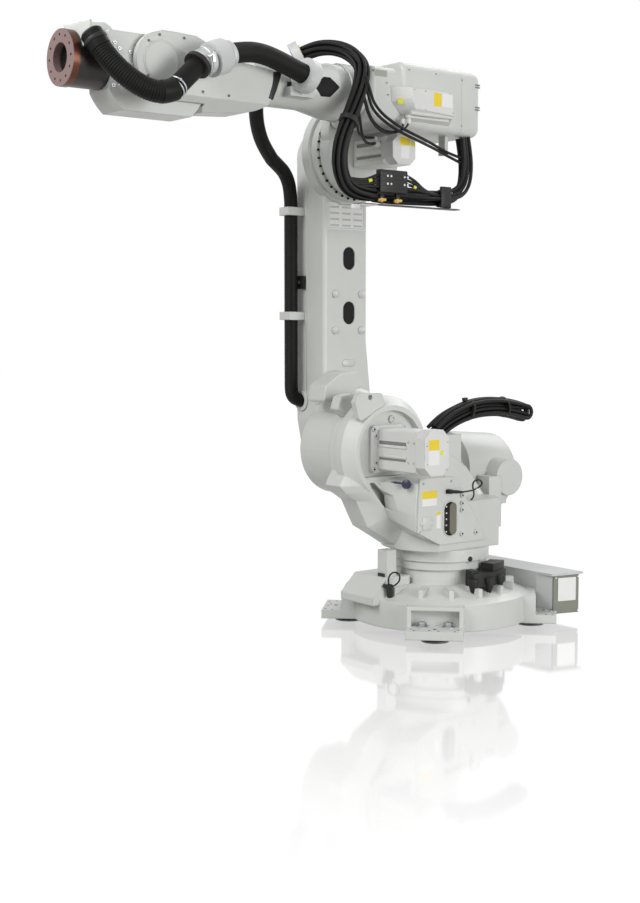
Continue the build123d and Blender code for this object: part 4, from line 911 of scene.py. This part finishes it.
wrist_hose = ribbed_hose("wrist_hose_ribbed", WRIST_HOSE_ROUTE, 40, 9, 2.8, None, 62)
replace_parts(wrist_hose, "wrist_hose")
built("wrist_hose_cap", stop_black, "wrist",
      (turned, ((43, -34), (44, -32), (44, -22), (43, -20)), (1785, 122, 2332), (21, -21, 46), 40),
      (turned, ((39, -8), (39, 3), (33, 9), (20, 13)), (1785, 122, 2332), (21, -21, 46), 40))
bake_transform(wrist_hose)
forearm_hose = ribbed_hose("forearm_hose_ribbed", FOREARM_HOSE_ROUTE, 38, 5, 0.8, "forearm")
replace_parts(forearm_hose, "forearm_hose")
arm_hose = ribbed_hose("arm_hose_ribbed", ARM_HOSE_ROUTE, *THIN_HOSE, "lower_arm")
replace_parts(arm_hose, "arm_hose")
ribbed_hose("arm_hose_elbow", ELBOW_ROUTE, *THIN_HOSE, "lower_arm")
built("arm_hose_flange", paint, "lower_arm",
      (turned, ((46, -1), (46, 6), (44, 8)), (ARM_X, -430, 984), (1, 0, 0), 32))
axis3_hose = ribbed_hose("axis3_hose_ribbed", AXIS3_HOSE_ROUTE, *THIN_HOSE, None)
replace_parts(axis3_hose, "axis3_hose")
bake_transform(axis3_hose)
axis4_hose = ribbed_hose("axis4_hose_ribbed", AXIS4_HOSE_ROUTE, *THIN_HOSE, None)
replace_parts(axis4_hose, "axis4_hose")
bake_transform(axis4_hose)
dress("hose_reducer", hose_black)
dress("swivel_joint", sheet_grey, 2)
dress("swivel_bracket", paint, 1)
dress_all(sheet_grey, hose_ring_front=1, hose_ring_rear=1)


def collars(name, route, rings, material):
    """Rings round a straight run of hose: where along it, half width and radius."""
    bm = bmesh.new()
    a, b = Vector(route[0]), Vector(route[1])
    for share, half, radius in rings:
        turned(bm, ((radius - 1.2, -half), (radius, -half + 1.2), (radius, half - 1.2), (radius - 1.2, half)),
               a.lerp(b, share), b - a, 40)
    return piece(name, bm, material, "forearm")


collars("reducer_clamp", REDUCER_ROUTE, ((0.02, 3, 40.5), (0.12, 3, 40.5)), steel)
collars("reducer_collar", REDUCER_ROUTE, ((0.93, 9, 53),), stop_black)
collars("swivel_clamp", SWIVEL_ROUTE, ((0.2, 11, 54), (0.87, 8, 52)), steel)
collars("swivel_ring", SWIVEL_ROUTE, ((0.46, 14, 62), (0.60, 6, 59)), sheet_grey)
built("clamp_ears", steel, "forearm",
      (turned, ((5, -10), (6, -8), (6, 14), (4, 16)), (1375, 252, 2284), (-0.8, 0.1, 0.5), 12),
      (slab, rectangle(1350, 1366, 2262, 2300), "y", 248, 258, 2),
      (turned, ((5, 0), (5, 6)), (1510, 262, 2182), (0, 1, 0.3), 10))
built("ring_tape", patch_yellow, "forearm",
      (turned, ((37, 4), (37.6, 5), (37.6, 16), (37, 17)), (735, -60, 2402), (-35, 40, 24), 32))

# Studio
# The arm stands on a pale polished floor in front of a white backdrop, in
# soft light from large lamps in front, at its left and behind.

floor_mesh = bpy.data.meshes.new("studio_floor")
FLOOR_HALF = 30.0
floor_mesh.from_pydata([(-FLOOR_HALF, -FLOOR_HALF, 0), (FLOOR_HALF, -FLOOR_HALF, 0), (FLOOR_HALF, FLOOR_HALF, 0),
                        (-FLOOR_HALF, FLOOR_HALF, 0)], [], [(0, 1, 2, 3)])
floor_white = bpy.data.materials.new("floor_white")
floor_white.use_nodes = True
floor_tree = floor_white.node_tree
floor_shader = floor_tree.nodes["Principled BSDF"]
floor_shader.inputs["Base Color"].default_value = (0.36, 0.355, 0.33, 1)
floor_shader.inputs["Roughness"].default_value = 0.5
REFLECTION, REFLECTION_REACH = 0.46, 3.6
FLOOR_GLOW, SHADOW_SHARE = 1.1, 0.07
mirror = shader_node(floor_tree, "BsdfGlossy", {"Color": (1, 1, 1, 1), "Roughness": 0.06})
glow = shader_node(floor_tree, "Emission", {"Strength": FLOOR_GLOW})
polish = shader_node(floor_tree, "MixShader")
shade = shader_node(floor_tree, "MixShader", {0: SHADOW_SHARE})
spread = shader_node(floor_tree, "TexCoord")
reach = shader_node(floor_tree, "VectorMath", operation="LENGTH")
fade = shader_node(floor_tree, "MapRange", {"From Min": 0.4, "From Max": REFLECTION_REACH, "To Min": REFLECTION,
                                            "To Max": 0.0}, interpolation_type="SMOOTHSTEP")
seen_floor = shader_node(floor_tree, "LightPath")
either = shader_node(floor_tree, "Math", operation="MAXIMUM")
choice = shader_node(floor_tree, "MixShader")
link(floor_tree, spread.outputs["Object"], reach.inputs[0],
     reach.outputs["Value"], fade.inputs["Value"],
     fade.outputs["Result"], polish.inputs[0],
     glow.outputs[0], polish.inputs[1],
     mirror.outputs[0], polish.inputs[2],
     polish.outputs[0], shade.inputs[1],
     floor_shader.outputs[0], shade.inputs[2],
     seen_floor.outputs["Is Camera Ray"], either.inputs[0],
     seen_floor.outputs["Is Glossy Ray"], either.inputs[1],
     either.outputs[0], choice.inputs[0],
     floor_shader.outputs[0], choice.inputs[1],
     shade.outputs[0], choice.inputs[2],
     choice.outputs[0], floor_tree.nodes["Material Output"].inputs["Surface"])
floor_mesh.materials.append(floor_white)
floor_object = bpy.data.objects.new("studio_floor", floor_mesh)
bpy.context.scene.collection.objects.link(floor_object)

world = bpy.data.worlds.new("studio_world")
bpy.context.scene.world = world
world.use_nodes = True
sky = world.node_tree
rays = shader_node(sky, "LightPath")
seen = shader_node(sky, "Math", operation="MAXIMUM")
ROOM_LIGHT = 0.24
level = shader_node(sky, "MapRange", {"To Min": ROOM_LIGHT, "To Max": 1.0})
backdrop = sky.nodes["Background"]
backdrop.inputs["Color"].default_value = (1, 1, 1, 1)
link(sky, rays.outputs["Is Camera Ray"], seen.inputs[0],
     rays.outputs["Is Glossy Ray"], seen.inputs[1],
     seen.outputs[0], level.inputs["Value"],
     level.outputs["Result"], backdrop.inputs["Strength"])

LIT_PLACE = Vector((0.5, 0, 1.2))
LAMPS = (("key", (5.5, 0.5, 4.6), 3.5, 270), ("fill", (-0.5, 6.0, 1.8), 3.0, 210),
         ("back", (-4.0, -1.0, 5.0), 4.0, 140))
for name, place, size, power in LAMPS:
    light = bpy.data.lights.new(name, "AREA")
    light.energy = power
    light.size = size
    lamp = bpy.data.objects.new(name, light)
    lamp.location = place
    aim = LIT_PLACE - Vector(place)
    lamp.rotation_mode = "QUATERNION"
    lamp.rotation_quaternion = aim.to_track_quat("-Z", "Y")
    bpy.context.scene.collection.objects.link(lamp)

CAMERA_PLACE = (4.2687, 4.5776, 1.3136)
CAMERA_YAW = 4.046825
CAMERA_PITCH = -0.088238
camera_data = bpy.data.cameras.new("camera")
camera_data.lens = 56.38
camera_data.sensor_width = 36
camera = bpy.data.objects.new("camera", camera_data)
camera.location = CAMERA_PLACE
looking = Vector((math.cos(CAMERA_YAW) * math.cos(CAMERA_PITCH), math.sin(CAMERA_YAW) * math.cos(CAMERA_PITCH),
                  math.sin(CAMERA_PITCH)))
camera.rotation_mode = "QUATERNION"
camera.rotation_quaternion = looking.to_track_quat("-Z", "Y")
bpy.context.scene.collection.objects.link(camera)
bpy.context.scene.camera = camera
bpy.context.scene.view_settings.view_transform = "Standard"
